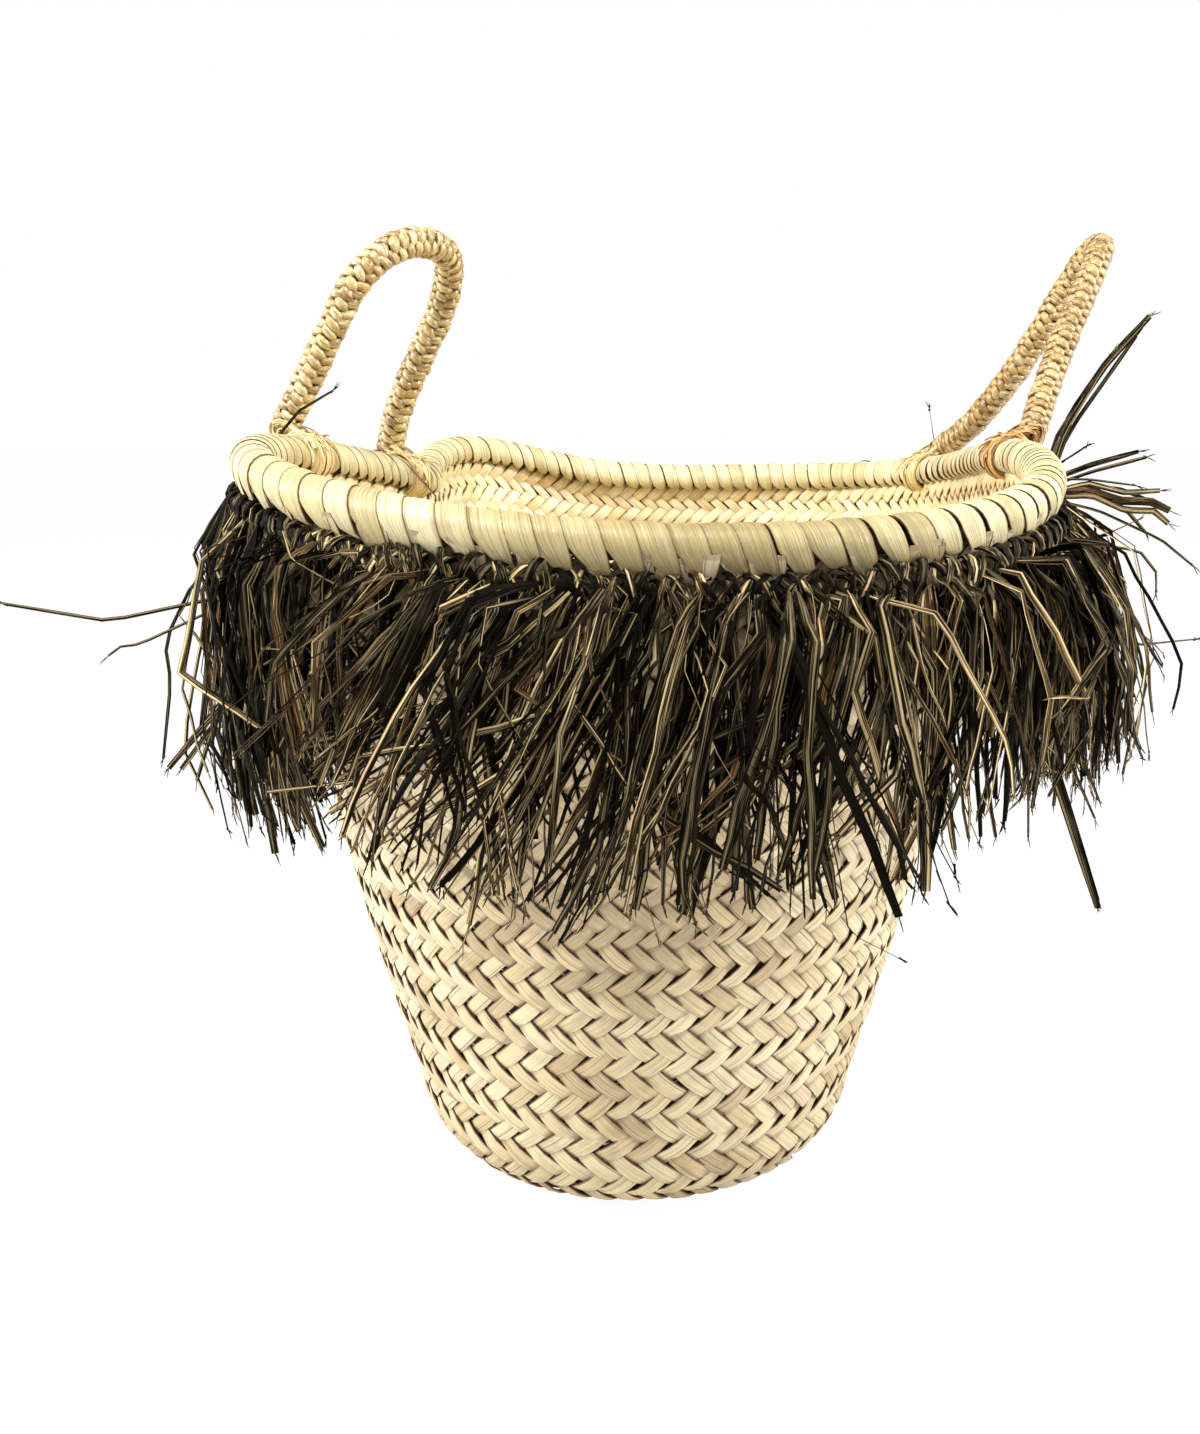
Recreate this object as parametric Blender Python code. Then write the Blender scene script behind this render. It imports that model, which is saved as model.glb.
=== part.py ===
"""A belly basket: plaited palm-leaf courses sewn into a rounded body, a rolled rim wrapped in
palm leaf, a dark raffia fringe knotted under the rim, and two braided loop handles that tip
on their feet where fibre lashings hold them to the rim. Metres, +Z up, +X to the right."""

import math
import random

import bmesh
import bpy
import numpy as np
from mathutils import Vector
from mathutils.geometry import interpolate_bezier

UP = Vector((0, 0, 1))

# The mouth: the plan of the rim roll's centre line, a soft rectangle pinched in at the left.
MOUTH_HALF_WIDTH = 0.1376
MOUTH_HALF_DEPTH = 0.1567
MOUTH_SQUARENESS = 2.86
MOUTH_SHIFT_X = 0.0042
MOUTH_SHIFT_Y = -0.0095
PINCH_DEPTH = 0.047
PINCH_TURN = 157.0
PINCH_SPREAD = 28.6

# Heights of the rim roll's centre line: low at the front, raised at the sides and one corner.
RIM_HEIGHT = 0.2603
RIGHT_RISE = 0.0202
RIGHT_RISE_TURN = -9.2
RIGHT_RISE_SPREAD = 46.0
LEFT_RISE = 0.0234
LEFT_RISE_TURN = 204.9
LEFT_RISE_SPREAD = 43.0
CORNER_RISE = 0.0151
CORNER_RISE_TURN = 123.4
CORNER_RISE_SPREAD = 20.1

# The body: outer radii from the floor up to the belly, above which the mouth's plan takes over.
BASE_RADIUS = 0.0904
EDGE_RADIUS = 0.024
LOWER_RADIUS = 0.105
LOWER_HEIGHT = 0.078
BELLY_RADIUS = 0.1203
BELLY_HEIGHT = 0.143
WALL = 0.003
COURSES = 5
NECK = 0.014

# Sewing, rim, fringe header and lashings.
SEWING_CORD = 0.0012
ROLL_RADIUS = 0.0063
WRAP_THICKNESS = 0.0015
SLOT_HALF_ANGLE = 22.0
NOTCH_DEPTH = 0.018
HEADER_RADIUS = 0.003
LASHING_CORD = 0.0016
LASHING_TURNS = 3
LASHING_SPACING = 0.0006
LASHING_START = -60.0
FIT = 0.0003

# The fringe: strands in two layers that leave the header, spread and hang.
FRINGE_LENGTH = 0.108
FRINGE_LENGTH_SPREAD = 0.008
FRINGE_REACH = 0.026
FRINGE_SIDE_REACH = 0.040
KNEE_REACH = 0.58
KNEE_DROP = 0.25
INNER_LAYER = 0.62
OUTER_LAYER = 1.22
STRAND_THINNING = 0.42
STRAND_TIP = 0.3
TIP_JITTER = 0.03
ROOT_SLOPE = 0.3

# The handles: braided sheath on a rope core, each a loop between two feet on the rim.
HANDLE_RADIUS = 0.0053
BORE_RADIUS = 0.0033
CORE_RADIUS = 0.0030
FOOT_SLANT = 40.0
FOOT_SHOULDER = 55.0
LEFT_FEET = (190.0, 166.0)
RIGHT_FEET = (357.0, 36.0)
LEFT_LEAN = -28.0
RIGHT_LEAN = 28.0
LEFT_LOOP_HEIGHT = 0.081
RIGHT_LOOP_HEIGHT = 0.084
# Each loop's outline in its own plane: shares of the way between the feet, and of its height.
LEFT_LOOP = ((0, 0), (0.01, 0.22), (0.02, 0.48), (0.05, 0.76), (0.30, 0.965), (0.66, 0.99),
             (0.84, 0.80), (0.87, 0.50), (0.90, 0.22), (1, 0))
RIGHT_LOOP = ((0, 0), (0.06, 0.13), (0.14, 0.37), (0.205, 0.63), (0.255, 0.87), (0.33, 1.0),
              (0.415, 0.87), (0.475, 0.60), (0.58, 0.31), (0.76, 0.11), (1, 0))

# How finely the round shapes are cut.
STATIONS = 52
SECTORS = 13
COLUMNS = 3
ROLL_SIDES = 7
EDGE_STEPS = 3
CORD_SIDES = 3
HEADER_SIDES = 6
RIM_SAMPLES = 1441
HANDLE_SIDES = 8
HANDLE_STEPS = 3
LASHING_POINTS = 12
SEED = 7

PALM = ((0.80, 0.68, 0.42), 0.62)
CORD = ((0.55, 0.42, 0.22), 0.75)
WRAP = ((0.88, 0.79, 0.48), 0.5)
PITH = ((0.66, 0.55, 0.33), 0.8)
RAFFIA = ((0.09, 0.06, 0.035), 0.7)
BRAID = ((0.78, 0.6, 0.32), 0.6)
GOLDEN = ((0.72, 0.45, 0.17), 0.65)


def clear_scene():
    for thing in list(bpy.data.objects):
        bpy.data.objects.remove(thing, do_unlink=True)


def material(name, finish):
    """A Principled material from a colour and a roughness."""
    colour, roughness = finish
    made = bpy.data.materials.get(name)
    if made is None:
        made = bpy.data.materials.new(name)
        made.use_nodes = True
        shader = made.node_tree.nodes["Principled BSDF"]
        shader.inputs["Base Color"].default_value = (*colour, 1)
        shader.inputs["Roughness"].default_value = roughness
        shader.inputs["Metallic"].default_value = 0
        made.diffuse_color = (*colour, 1)
    return made


def bump(turn, centre, spread):
    """A soft hump of height 1 at the centre, by turn angle; degrees for the centre and spread."""
    away = (math.degrees(turn) - centre + 180) % 360 - 180
    return math.exp(-((away / spread) ** 2))


def mouth(turn):
    """Centre of the rim roll at a turn angle in radians, anticlockwise from the right."""
    across = abs(math.cos(turn) / MOUTH_HALF_WIDTH) ** MOUTH_SQUARENESS
    along = abs(math.sin(turn) / MOUTH_HALF_DEPTH) ** MOUTH_SQUARENESS
    reach = (across + along) ** (-1 / MOUTH_SQUARENESS)
    reach -= PINCH_DEPTH * bump(turn, PINCH_TURN, PINCH_SPREAD)
    lift = RIGHT_RISE * bump(turn, RIGHT_RISE_TURN, RIGHT_RISE_SPREAD)
    lift += LEFT_RISE * bump(turn, LEFT_RISE_TURN, LEFT_RISE_SPREAD)
    lift += CORNER_RISE * bump(turn, CORNER_RISE_TURN, CORNER_RISE_SPREAD)
    return Vector((MOUTH_SHIFT_X + reach * math.cos(turn),
                   MOUTH_SHIFT_Y + reach * math.sin(turn),
                   RIM_HEIGHT + lift))


def even_turns(count):
    """Turn angles that step round the mouth in equal lengths of rim."""
    turns = np.linspace(0, 2 * math.pi, RIM_SAMPLES)
    points = np.array([mouth(turn) for turn in turns])
    steps = np.linalg.norm(np.diff(points, axis=0), axis=1)
    gone = np.concatenate(([0], np.cumsum(steps)))
    return np.interp(np.arange(count) * gone[-1] / count, gone, turns)


TURNS = even_turns(STATIONS)
ROLL_CENTRES = [mouth(turn) for turn in TURNS]
STATION_LENGTH = sum((c - ROLL_CENTRES[i - 1]).length for i, c in enumerate(ROLL_CENTRES)) / STATIONS
NECK_HEIGHT = RIM_HEIGHT - NECK
EDGE_TOP = EDGE_RADIUS
FLOOR_RADIUS = BASE_RADIUS - EDGE_RADIUS


def wall_middle(station, height):
    """Middle of the wall below a rim station, at a height that is measured at the front."""
    top = ROLL_CENTRES[station % STATIONS]
    way = Vector((top.x, top.y, 0))
    reach = way.length
    way.normalize()
    if height <= BELLY_HEIGHT:
        heights = (EDGE_TOP, LOWER_HEIGHT, BELLY_HEIGHT)
        radii = (BASE_RADIUS, LOWER_RADIUS, BELLY_RADIUS)
        return way * (float(np.interp(height, heights, radii)) - WALL / 2) + UP * height
    share = min(1, (height - BELLY_HEIGHT) / (NECK_HEIGHT - BELLY_HEIGHT))
    blend = 0.5 * share + 0.5 * share * share * (3 - 2 * share)
    belly = BELLY_RADIUS - WALL / 2
    return way * (belly + (reach - belly) * blend) + UP * (height + blend * (top.z - RIM_HEIGHT))


def outward(before, after):
    """Level direction square to the way from one point to the next, out of the basket."""
    along = after - before
    return along.cross(UP).normalized()


ROLL_OUT = [outward(ROLL_CENTRES[i - 1], ROLL_CENTRES[(i + 1) % STATIONS]) for i in range(STATIONS)]


def wall_row(height, offset):
    """A ring of points at one height, set off from the middle of the wall."""
    middle = [wall_middle(station, height) for station in range(STATIONS)]
    row = []
    for station, point in enumerate(middle):
        out = outward(middle[station - 1], middle[(station + 1) % STATIONS])
        row.append(point + out * offset)
    return row


def rim_place(place):
    """Roll centre and outward direction at a station number that may lie between two."""
    before = math.floor(place)
    share = place - before
    here, after = before % STATIONS, (before + 1) % STATIONS
    centre = ROLL_CENTRES[here].lerp(ROLL_CENTRES[after], share)
    return centre, ROLL_OUT[here].lerp(ROLL_OUT[after], share).normalized()


def place_of_turn(degrees):
    """Station number, with its fraction, at a turn angle."""
    turns = np.append(TURNS, 2 * math.pi)
    return float(np.interp(math.radians(degrees % 360), turns, np.arange(STATIONS + 1)))


def finish(name, mesh, look, smooth_angle=50):
    """Turn a bmesh into a named, smooth-shaded object with its material."""
    mesh.normal_update()
    bmesh.ops.recalc_face_normals(mesh, faces=mesh.faces)
    data = bpy.data.meshes.new(name)
    mesh.to_mesh(data)
    mesh.free()
    data.shade_smooth()
    data.set_sharp_from_angle(angle=math.radians(smooth_angle))
    data.materials.append(look)
    made = bpy.data.objects.new(name, data)
    bpy.context.collection.objects.link(made)
    return made


def extrude_to(mesh, edges, points):
    """Extrude a row of edges and set the new vertices on the given points, in order."""
    old = [edges[0].verts[0] if edges[0].verts[0] not in edges[1].verts else edges[0].verts[1]]
    for edge in edges:
        old.append(edge.other_vert(old[-1]))
    if old[0] is old[-1]:
        old.pop()
    made = bmesh.ops.extrude_edge_only(mesh, edges=edges)["geom"]
    new_verts = {item for item in made if isinstance(item, bmesh.types.BMVert)}
    after = {}
    for vert in old:
        after[vert] = next(e.other_vert(vert) for e in vert.link_edges if e.other_vert(vert) in new_verts)
    for vert, point in zip(old, points):
        after[vert].co = point
    count = len(edges)
    ordered = [after[vert] for vert in old]
    pairs = [(ordered[i], ordered[(i + 1) % len(ordered)]) for i in range(count)]
    return [next(e for e in a.link_edges if e.other_vert(a) is b) for a, b in pairs]


def first_row(mesh, points, closed=True):
    """The first row of vertices and edges that the others are extruded from."""
    verts = [mesh.verts.new(point) for point in points]
    count = len(verts) if closed else len(verts) - 1
    return [mesh.edges.new((verts[i], verts[(i + 1) % len(verts)])) for i in range(count)]


def looped_rows(name, rows, look, smooth_angle=50):
    """A ring-shaped solid: closed rows extruded one to the next, the last back to the first."""
    mesh = bmesh.new()
    edges = first_row(mesh, rows[0])
    for row in rows[1:] + rows[:1]:
        edges = extrude_to(mesh, edges, row)
    bmesh.ops.remove_doubles(mesh, verts=mesh.verts, dist=1e-6)
    return finish(name, mesh, look, smooth_angle)


def ring_along_rim(name, section, look, smooth_angle=50):
    """A solid ring that follows the roll: the section holds outward and upward offsets."""
    rows = []
    for out, up in section:
        rows.append([c + n * out + UP * up for c, n in zip(ROLL_CENTRES, ROLL_OUT)])
    return looped_rows(name, rows, look, smooth_angle)


def polygon(radius, sides, centre=(0, 0), start=0.0):
    """Corners of a regular polygon in the section plane."""
    angles = [start + 2 * math.pi * side / sides for side in range(sides)]
    return [(centre[0] + radius * math.cos(a), centre[1] + radius * math.sin(a)) for a in angles]


def ring_at(height_rows):
    """Rings of the wall, one for each height and offset."""
    return [wall_row(height, offset) for height, offset in height_rows]


def make_base(look):
    """The flat spiral disc that stands on the floor, and the rounded course that turns it up."""
    directions = [Vector((c.x, c.y, 0)).normalized() for c in ROLL_CENTRES]
    disc = bmesh.new()
    low = [way * (FLOOR_RADIUS - FIT) for way in directions]
    edges = first_row(disc, low)
    bmesh.ops.contextual_create(disc, geom=edges)
    edges = extrude_to(disc, edges, [point + UP * WALL for point in low])
    bmesh.ops.contextual_create(disc, geom=edges)
    finish("base_disc", disc, look, 30)

    steps = [math.pi / 2 * step / EDGE_STEPS for step in range(EDGE_STEPS + 1)]
    profile = [(FLOOR_RADIUS + EDGE_RADIUS * math.sin(a), EDGE_RADIUS * (1 - math.cos(a))) for a in steps]
    inner = EDGE_RADIUS - WALL
    for angle in reversed(steps):
        profile.append((FLOOR_RADIUS + inner * math.sin(angle), EDGE_RADIUS - inner * math.cos(angle)))
    rows = [[way * radius + UP * height for way in directions] for radius, height in profile]
    looped_rows("base_edge", rows, look, 40)


def make_courses(look, cord_look):
    """The plaited courses of the wall, with a sewing cord hidden in each seam below one."""
    seam = SEWING_CORD + 2 * FIT
    wall_top = RIM_HEIGHT - (ROLL_RADIUS - WRAP_THICKNESS) - FIT
    rise = (wall_top - EDGE_TOP) / COURSES
    half = WALL / 2
    for course in range(COURSES):
        low = EDGE_TOP + course * rise + seam
        high = EDGE_TOP + (course + 1) * rise
        heights = [low, high]
        if low < BELLY_HEIGHT < high - seam:
            heights.insert(1, BELLY_HEIGHT)
        if low < NECK_HEIGHT < high:
            heights.insert(-1, NECK_HEIGHT)
        outline = [(height, half) for height in heights]
        outline += [(height, -half) for height in reversed(heights)]
        made = looped_rows(f"wall_course_{course + 1}", ring_at(outline), look, 40)
        if course == COURSES - 1:
            notch_for_lashings(made)
        middle = low - seam / 2
        cord = [(middle + up, out) for out, up in polygon(SEWING_CORD / 2, CORD_SIDES)]
        looped_rows(f"sewing_cord_{course + 1}", ring_at(cord), cord_look, 60)


def lashing_radius():
    return ROLL_RADIUS + FIT + LASHING_CORD / 2


def lashing_width():
    return LASHING_TURNS * (LASHING_CORD + LASHING_SPACING) + LASHING_CORD


def notch_for_lashings(course):
    """Cut the openings in the wall's top edge that the handle lashings pass through."""
    floor = lashing_radius() + LASHING_CORD / 2 + FIT
    for degrees in LEFT_FEET + RIGHT_FEET:
        centre, out = rim_place(place_of_turn(degrees))
        along = UP.cross(out)
        cutter = bmesh.new()
        bmesh.ops.create_cube(cutter, size=1)
        size = (lashing_width() + 2 * FIT, NOTCH_DEPTH, floor)
        for vert in cutter.verts:
            spot = along * vert.co.x * size[0] + out * vert.co.y * size[1] + UP * vert.co.z * size[2]
            vert.co = centre + spot - UP * size[2] / 2
        made = finish(f"notch_{degrees:.0f}", cutter, material("cutter", CORD))
        made.hide_render = True
        made.display_type = "WIRE"
        cut = course.modifiers.new(made.name, "BOOLEAN")
        cut.operation = "DIFFERENCE"
        cut.object = made


def make_rim(core_look, wrap_look):
    """The rim's leaf core and the wrap round it, open below where it clasps the wall."""
    bore = ROLL_RADIUS - WRAP_THICKNESS
    lip = math.radians(SLOT_HALF_ANGLE)
    sweep = 2 * (math.pi - lip)
    flat = bore * math.cos(sweep / ROLL_SIDES / 2)
    ring_along_rim("rim_core", polygon(flat - FIT, ROLL_SIDES, start=math.pi / ROLL_SIDES), core_look)
    angles = [-math.pi / 2 + lip + sweep * step / ROLL_SIDES for step in range(ROLL_SIDES + 1)]
    section = [(ROLL_RADIUS * math.cos(a), ROLL_RADIUS * math.sin(a)) for a in angles]
    section += [(bore * math.cos(a), bore * math.sin(a)) for a in reversed(angles)]
    ring_along_rim("rim_wrap", section, wrap_look)


def header_offsets():
    """Where the fringe header's centre lies from the roll's: out past the wall, under a lashing."""
    out = WALL / 2 + FIT + HEADER_RADIUS
    clear = lashing_radius() + LASHING_CORD / 2 + FIT + HEADER_RADIUS
    return out, -math.sqrt(clear * clear - out * out)


def strand_ends(root, way, turn, layer, chance):
    """The knee and tip of a strand that leaves the header at root."""
    reach = (FRINGE_REACH + FRINGE_SIDE_REACH * math.cos(turn) ** 2) * layer
    length = FRINGE_LENGTH + FRINGE_LENGTH_SPREAD * chance.uniform(-1, 1)
    knee = root + way * reach * KNEE_REACH - UP * length * KNEE_DROP
    tip = root + way * reach * (1 + TIP_JITTER * chance.uniform(-1, 1)) - UP * length
    return knee, tip


def make_fringe_sector(number, look, chance):
    """A slice of the knotted header with its strands drawn out of its lower, outer faces."""
    span = STATIONS // SECTORS
    start = number * span
    steps = span * COLUMNS
    out, drop = header_offsets()
    section = polygon(HEADER_RADIUS, HEADER_SIDES, (out, drop), math.pi / HEADER_SIDES)
    mesh = bmesh.new()
    rows = []
    for step in range(steps + 1):
        place = start + step / COLUMNS
        centre, side = rim_place(place)
        along = UP.cross(side)
        inset = along * (FIT if step == 0 else -FIT if step == steps else 0)
        rows.append([centre + inset + side * o + UP * u for o, u in section])
    edges = first_row(mesh, rows[0])
    bmesh.ops.contextual_create(mesh, geom=edges)
    for row in rows[1:]:
        edges = extrude_to(mesh, edges, row)
    bmesh.ops.contextual_create(mesh, geom=edges)
    mesh.normal_update()
    bmesh.ops.recalc_face_normals(mesh, faces=mesh.faces)
    mesh.normal_update()
    lower = []
    for face in mesh.faces:
        side = nearest_side(face.calc_center_median())
        if len(face.verts) == 4 and face.normal.z < -ROOT_SLOPE and face.normal.dot(side) > ROOT_SLOPE:
            lower.append(face)
    roots = bmesh.ops.triangulate(mesh, faces=lower)["faces"]
    grown = bmesh.ops.extrude_discrete_faces(mesh, faces=roots)["faces"]
    for face in grown:
        root = face.calc_center_median()
        turn = math.atan2(root.y, root.x)
        way = (nearest_side(root) + Vector((root.x, root.y, 0)).normalized()).normalized()
        knee, tip = strand_ends(root, way, turn, root_layer(face), chance)
        tapered(face, knee, STRAND_THINNING)
        end = bmesh.ops.extrude_discrete_faces(mesh, faces=[face])["faces"][0]
        tapered(end, tip, STRAND_TIP / STRAND_THINNING)
    return finish(f"fringe_{number + 1:02d}", mesh, look, 60)


def nearest_side(point):
    """Outward direction of the rim station nearest to a point."""
    flat = [(Vector((c.x, c.y)) - Vector((point.x, point.y))).length for c in ROLL_CENTRES]
    return ROLL_OUT[flat.index(min(flat))]


def root_layer(face):
    """How far out a strand reaches: more for a root with its long side high on the header."""
    heights = sorted(vert.co.z for vert in face.verts)
    return OUTER_LAYER if heights[1] - heights[0] > heights[2] - heights[1] else INNER_LAYER


def tapered(face, centre, scale):
    """Shrink a face about its middle and carry it to a new centre."""
    middle = face.calc_center_median()
    for vert in face.verts:
        vert.co = centre + (vert.co - middle) * scale


def poly_tube(name, points, radius, look, resolution):
    """A round tube along points, capped at both ends."""
    curve = bpy.data.curves.new(name, "CURVE")
    curve.dimensions = "3D"
    curve.bevel_depth = radius
    curve.bevel_resolution = resolution
    curve.use_fill_caps = True
    spline = curve.splines.new("POLY")
    spline.points.add(len(points) - 1)
    for target, point in zip(spline.points, points):
        target.co = (*point, 1)
    spline.use_smooth = True
    curve.materials.append(look)
    made = bpy.data.objects.new(name, curve)
    bpy.context.collection.objects.link(made)
    return made


def make_lashing(name, degrees, look):
    """A winding of cord round the roll under a handle's foot."""
    pitch = (LASHING_CORD + LASHING_SPACING) / STATION_LENGTH
    place = place_of_turn(degrees)
    points = []
    count = LASHING_TURNS * LASHING_POINTS
    for step in range(count + 1):
        angle = math.radians(LASHING_START) + 2 * math.pi * step / LASHING_POINTS
        shift = pitch * (step / LASHING_POINTS - LASHING_TURNS / 2)
        middle, side = rim_place(place + shift)
        points.append(middle + (side * math.cos(angle) + UP * math.sin(angle)) * lashing_radius())
    least = min((points[i] - points[i + LASHING_POINTS]).length for i in range(count - LASHING_POINTS))
    print(f"{name}: least gap between turns {1000 * (least - LASHING_CORD):.2f} mm")
    poly_tube(name, points, LASHING_CORD / 2, look, 1)


def foot_centre(degrees):
    """Centre of a handle's ball foot, resting on its lashing at a slant off the roll's top."""
    centre, side = rim_place(place_of_turn(degrees))
    slant = math.radians(FOOT_SLANT)
    away = lashing_radius() + LASHING_CORD / 2 + FIT + HANDLE_RADIUS
    return centre + (side * math.sin(slant) + UP * math.cos(slant)) * away


def smooth_line(knots, steps):
    """Points along a smooth curve through the knots."""
    points = []
    for i in range(len(knots) - 1):
        before = knots[max(i - 1, 0)]
        after = knots[min(i + 2, len(knots) - 1)]
        reach = (knots[i + 1] - knots[i]).length / 3
        start = knots[i] + (knots[i + 1] - before).normalized() * reach
        end = knots[i + 1] - (after - knots[i]).normalized() * reach
        points += interpolate_bezier(knots[i], start, end, knots[i + 1], steps + 1)[:-1]
    return points + [knots[-1]]


def tube_rows(points, radii, side):
    """Rings of points square to a line, one for each point, with the given radii."""
    rows = []
    across = side.copy()
    for i, (point, radius) in enumerate(zip(points, radii)):
        along = (points[min(i + 1, len(points) - 1)] - points[max(i - 1, 0)]).normalized()
        across = (across - along * across.dot(along)).normalized()
        other = along.cross(across)
        turns = [2 * math.pi * k / HANDLE_SIDES for k in range(HANDLE_SIDES)]
        rows.append([point + (across * math.cos(t) + other * math.sin(t)) * radius for t in turns])
    return rows


def make_handle(name, feet, lean, outline, height, sheath_look, core_look):
    """One handle: a braided sheath with ball ends, and the rope core inside it."""
    near, far = (foot_centre(degrees) for degrees in feet)
    axis = far - near
    out = Vector((axis.y, -axis.x, 0)).normalized()
    if out.dot(near + far) < 0:
        out.negate()
    rise = out.cross(axis).normalized()
    if rise.z < 0:
        rise.negate()
    slant = math.radians(lean)
    upward = rise * math.cos(slant) + out * math.sin(slant)
    pivot = (near + far) / 2
    knots = [near + axis * along + upward * height * up - pivot for along, up in outline]
    line = smooth_line(knots, HANDLE_STEPS)
    start = (line[0] - line[1]).normalized()
    end = (line[-1] - line[-2]).normalized()
    mouth_reach = math.sqrt(HANDLE_RADIUS ** 2 - BORE_RADIUS ** 2)
    shoulder = HANDLE_RADIUS * math.cos(math.radians(FOOT_SHOULDER))
    shoulder_radius = HANDLE_RADIUS * math.sin(math.radians(FOOT_SHOULDER))
    route = [line[0] + start * mouth_reach, line[0] + start * shoulder] + line
    route += [line[-1] + end * shoulder, line[-1] + end * mouth_reach]
    radii = [BORE_RADIUS, shoulder_radius] + [HANDLE_RADIUS] * len(line) + [shoulder_radius, BORE_RADIUS]
    plane = axis.cross(upward).normalized()
    outer = tube_rows(route, radii, plane)
    bores = [BORE_RADIUS] * len(route)
    inner = tube_rows(route, bores, plane)
    sheath = looped_rows(f"{name}_handle_sheath", outer + inner[::-1][1:-1], sheath_look)
    core_reach = mouth_reach - FIT
    middle = [line[0] + start * core_reach] + line + [line[-1] + end * core_reach]
    core = poly_tube(f"{name}_handle_core", middle, CORE_RADIUS, core_look, 1)
    hinge = bpy.data.objects.new(f"{name}_handle_hinge", None)
    hinge.location = pivot
    bpy.context.collection.objects.link(hinge)
    for piece in (sheath, core):
        piece.parent = hinge
    print(f"{name} handle: feet {tuple(round(v, 5) for v in near)} and {tuple(round(v, 5) for v in far)}")
    print(f"{name} handle: hinge axis {tuple(round(v, 5) for v in axis.normalized())}")


def main():
    clear_scene()
    palm = material("palm_plait", PALM)
    cord = material("sewing_cord", CORD)
    make_base(palm)
    make_courses(palm, cord)
    make_rim(material("rim_pith", PITH), material("rim_leaf", WRAP))
    chance = random.Random(SEED)
    raffia = material("dark_raffia", RAFFIA)
    for number in range(SECTORS):
        make_fringe_sector(number, raffia, chance)
    golden = material("golden_fibre", GOLDEN)
    for name, degrees in zip(("left_near", "left_far", "right_near", "right_far"), LEFT_FEET + RIGHT_FEET):
        make_lashing(f"{name}_lashing", degrees, golden)
    braid = material("braided_palm", BRAID)
    make_handle("left", LEFT_FEET, LEFT_LEAN, LEFT_LOOP, LEFT_LOOP_HEIGHT, braid, cord)
    make_handle("right", RIGHT_FEET, RIGHT_LEAN, RIGHT_LOOP, RIGHT_LOOP_HEIGHT, braid, cord)
    bpy.context.view_layer.update()


main()
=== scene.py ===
# %% [markdown]
# A belly basket: a round body of plaited palm leaf, a thick rim wound with broad leaf strips, a long
# dark raffia fringe knotted under the rim, and two braided loop handles lashed to it. The real one is
# made of nothing but strips and strands, so nearly every piece below is many copies of one small
# strip, laid where the weaver laid it. The frame is loaded first, because each piece takes the place
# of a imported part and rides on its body.

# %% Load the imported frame
import math
import random

import bmesh
import bpy
import numpy as np
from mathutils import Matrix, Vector
from mathutils.geometry import interpolate_bezier


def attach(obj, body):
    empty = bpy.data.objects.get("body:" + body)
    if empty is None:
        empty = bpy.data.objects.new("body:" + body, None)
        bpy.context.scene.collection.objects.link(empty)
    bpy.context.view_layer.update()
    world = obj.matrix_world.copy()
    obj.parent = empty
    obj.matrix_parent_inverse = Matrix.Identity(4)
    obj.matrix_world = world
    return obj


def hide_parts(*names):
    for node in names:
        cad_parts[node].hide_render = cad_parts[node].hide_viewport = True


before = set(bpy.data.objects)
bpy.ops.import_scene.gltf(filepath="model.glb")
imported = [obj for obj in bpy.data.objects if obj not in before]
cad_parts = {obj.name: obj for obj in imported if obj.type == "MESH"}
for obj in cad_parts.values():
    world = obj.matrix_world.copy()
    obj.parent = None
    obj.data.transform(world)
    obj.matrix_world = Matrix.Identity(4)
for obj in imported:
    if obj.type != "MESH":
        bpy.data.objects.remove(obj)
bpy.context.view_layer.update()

# %% [markdown]
# The basket's shape is a mouth and a profile. The mouth is a soft rectangle, pinched in at the left
# and raised at both sides. It could be drawn as a curve and sampled, but here it is a formula on
# whole arrays, because every wrap, knot and leaf strip asks for its place on it, thousands at a time.

# %% The mouth and the rim's centre line
MOUTH_HALF_WIDTH = 0.1376
MOUTH_HALF_DEPTH = 0.1567
MOUTH_SQUARENESS = 2.86
MOUTH_SHIFT = (0.0042, -0.0095)
PINCH_DEPTH, PINCH_TURN, PINCH_SPREAD = 0.047, 157.0, 28.6
RIM_HEIGHT = 0.2603
RIM_RISES = ((0.0202, -9.2, 46.0), (0.0234, 204.9, 43.0), (0.0151, 123.4, 20.1))
ROLL_RADIUS = 0.0063
FULL_TURN = 2 * math.pi
UP = np.array((0.0, 0.0, 1.0))


def bump(turn, centre, spread):
    """A soft hump of height 1 round a turn angle; the turn in radians, the rest in degrees."""
    away = (np.degrees(turn) - centre + 180) % 360 - 180
    return np.exp(-((away / spread) ** 2))


def smooth(value, low, high):
    """From 0 at the low value to 1 at the high one, with soft ends."""
    share = np.clip((value - low) / (high - low), 0, 1)
    return share * share * (3 - 2 * share)


def mouth(turn):
    """Centre of the rim roll at turn angles, anticlockwise from the right."""
    across = np.abs(np.cos(turn) / MOUTH_HALF_WIDTH) ** MOUTH_SQUARENESS
    along = np.abs(np.sin(turn) / MOUTH_HALF_DEPTH) ** MOUTH_SQUARENESS
    reach = (across + along) ** (-1 / MOUTH_SQUARENESS) - PINCH_DEPTH * bump(turn, PINCH_TURN, PINCH_SPREAD)
    lift = sum(rise * bump(turn, centre, spread) for rise, centre, spread in RIM_RISES)
    x = MOUTH_SHIFT[0] + reach * np.cos(turn)
    y = MOUTH_SHIFT[1] + reach * np.sin(turn)
    return np.stack((x, y, RIM_HEIGHT + lift), axis=-1)


def unit(vectors):
    return vectors / np.linalg.norm(vectors, axis=-1, keepdims=True)


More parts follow.
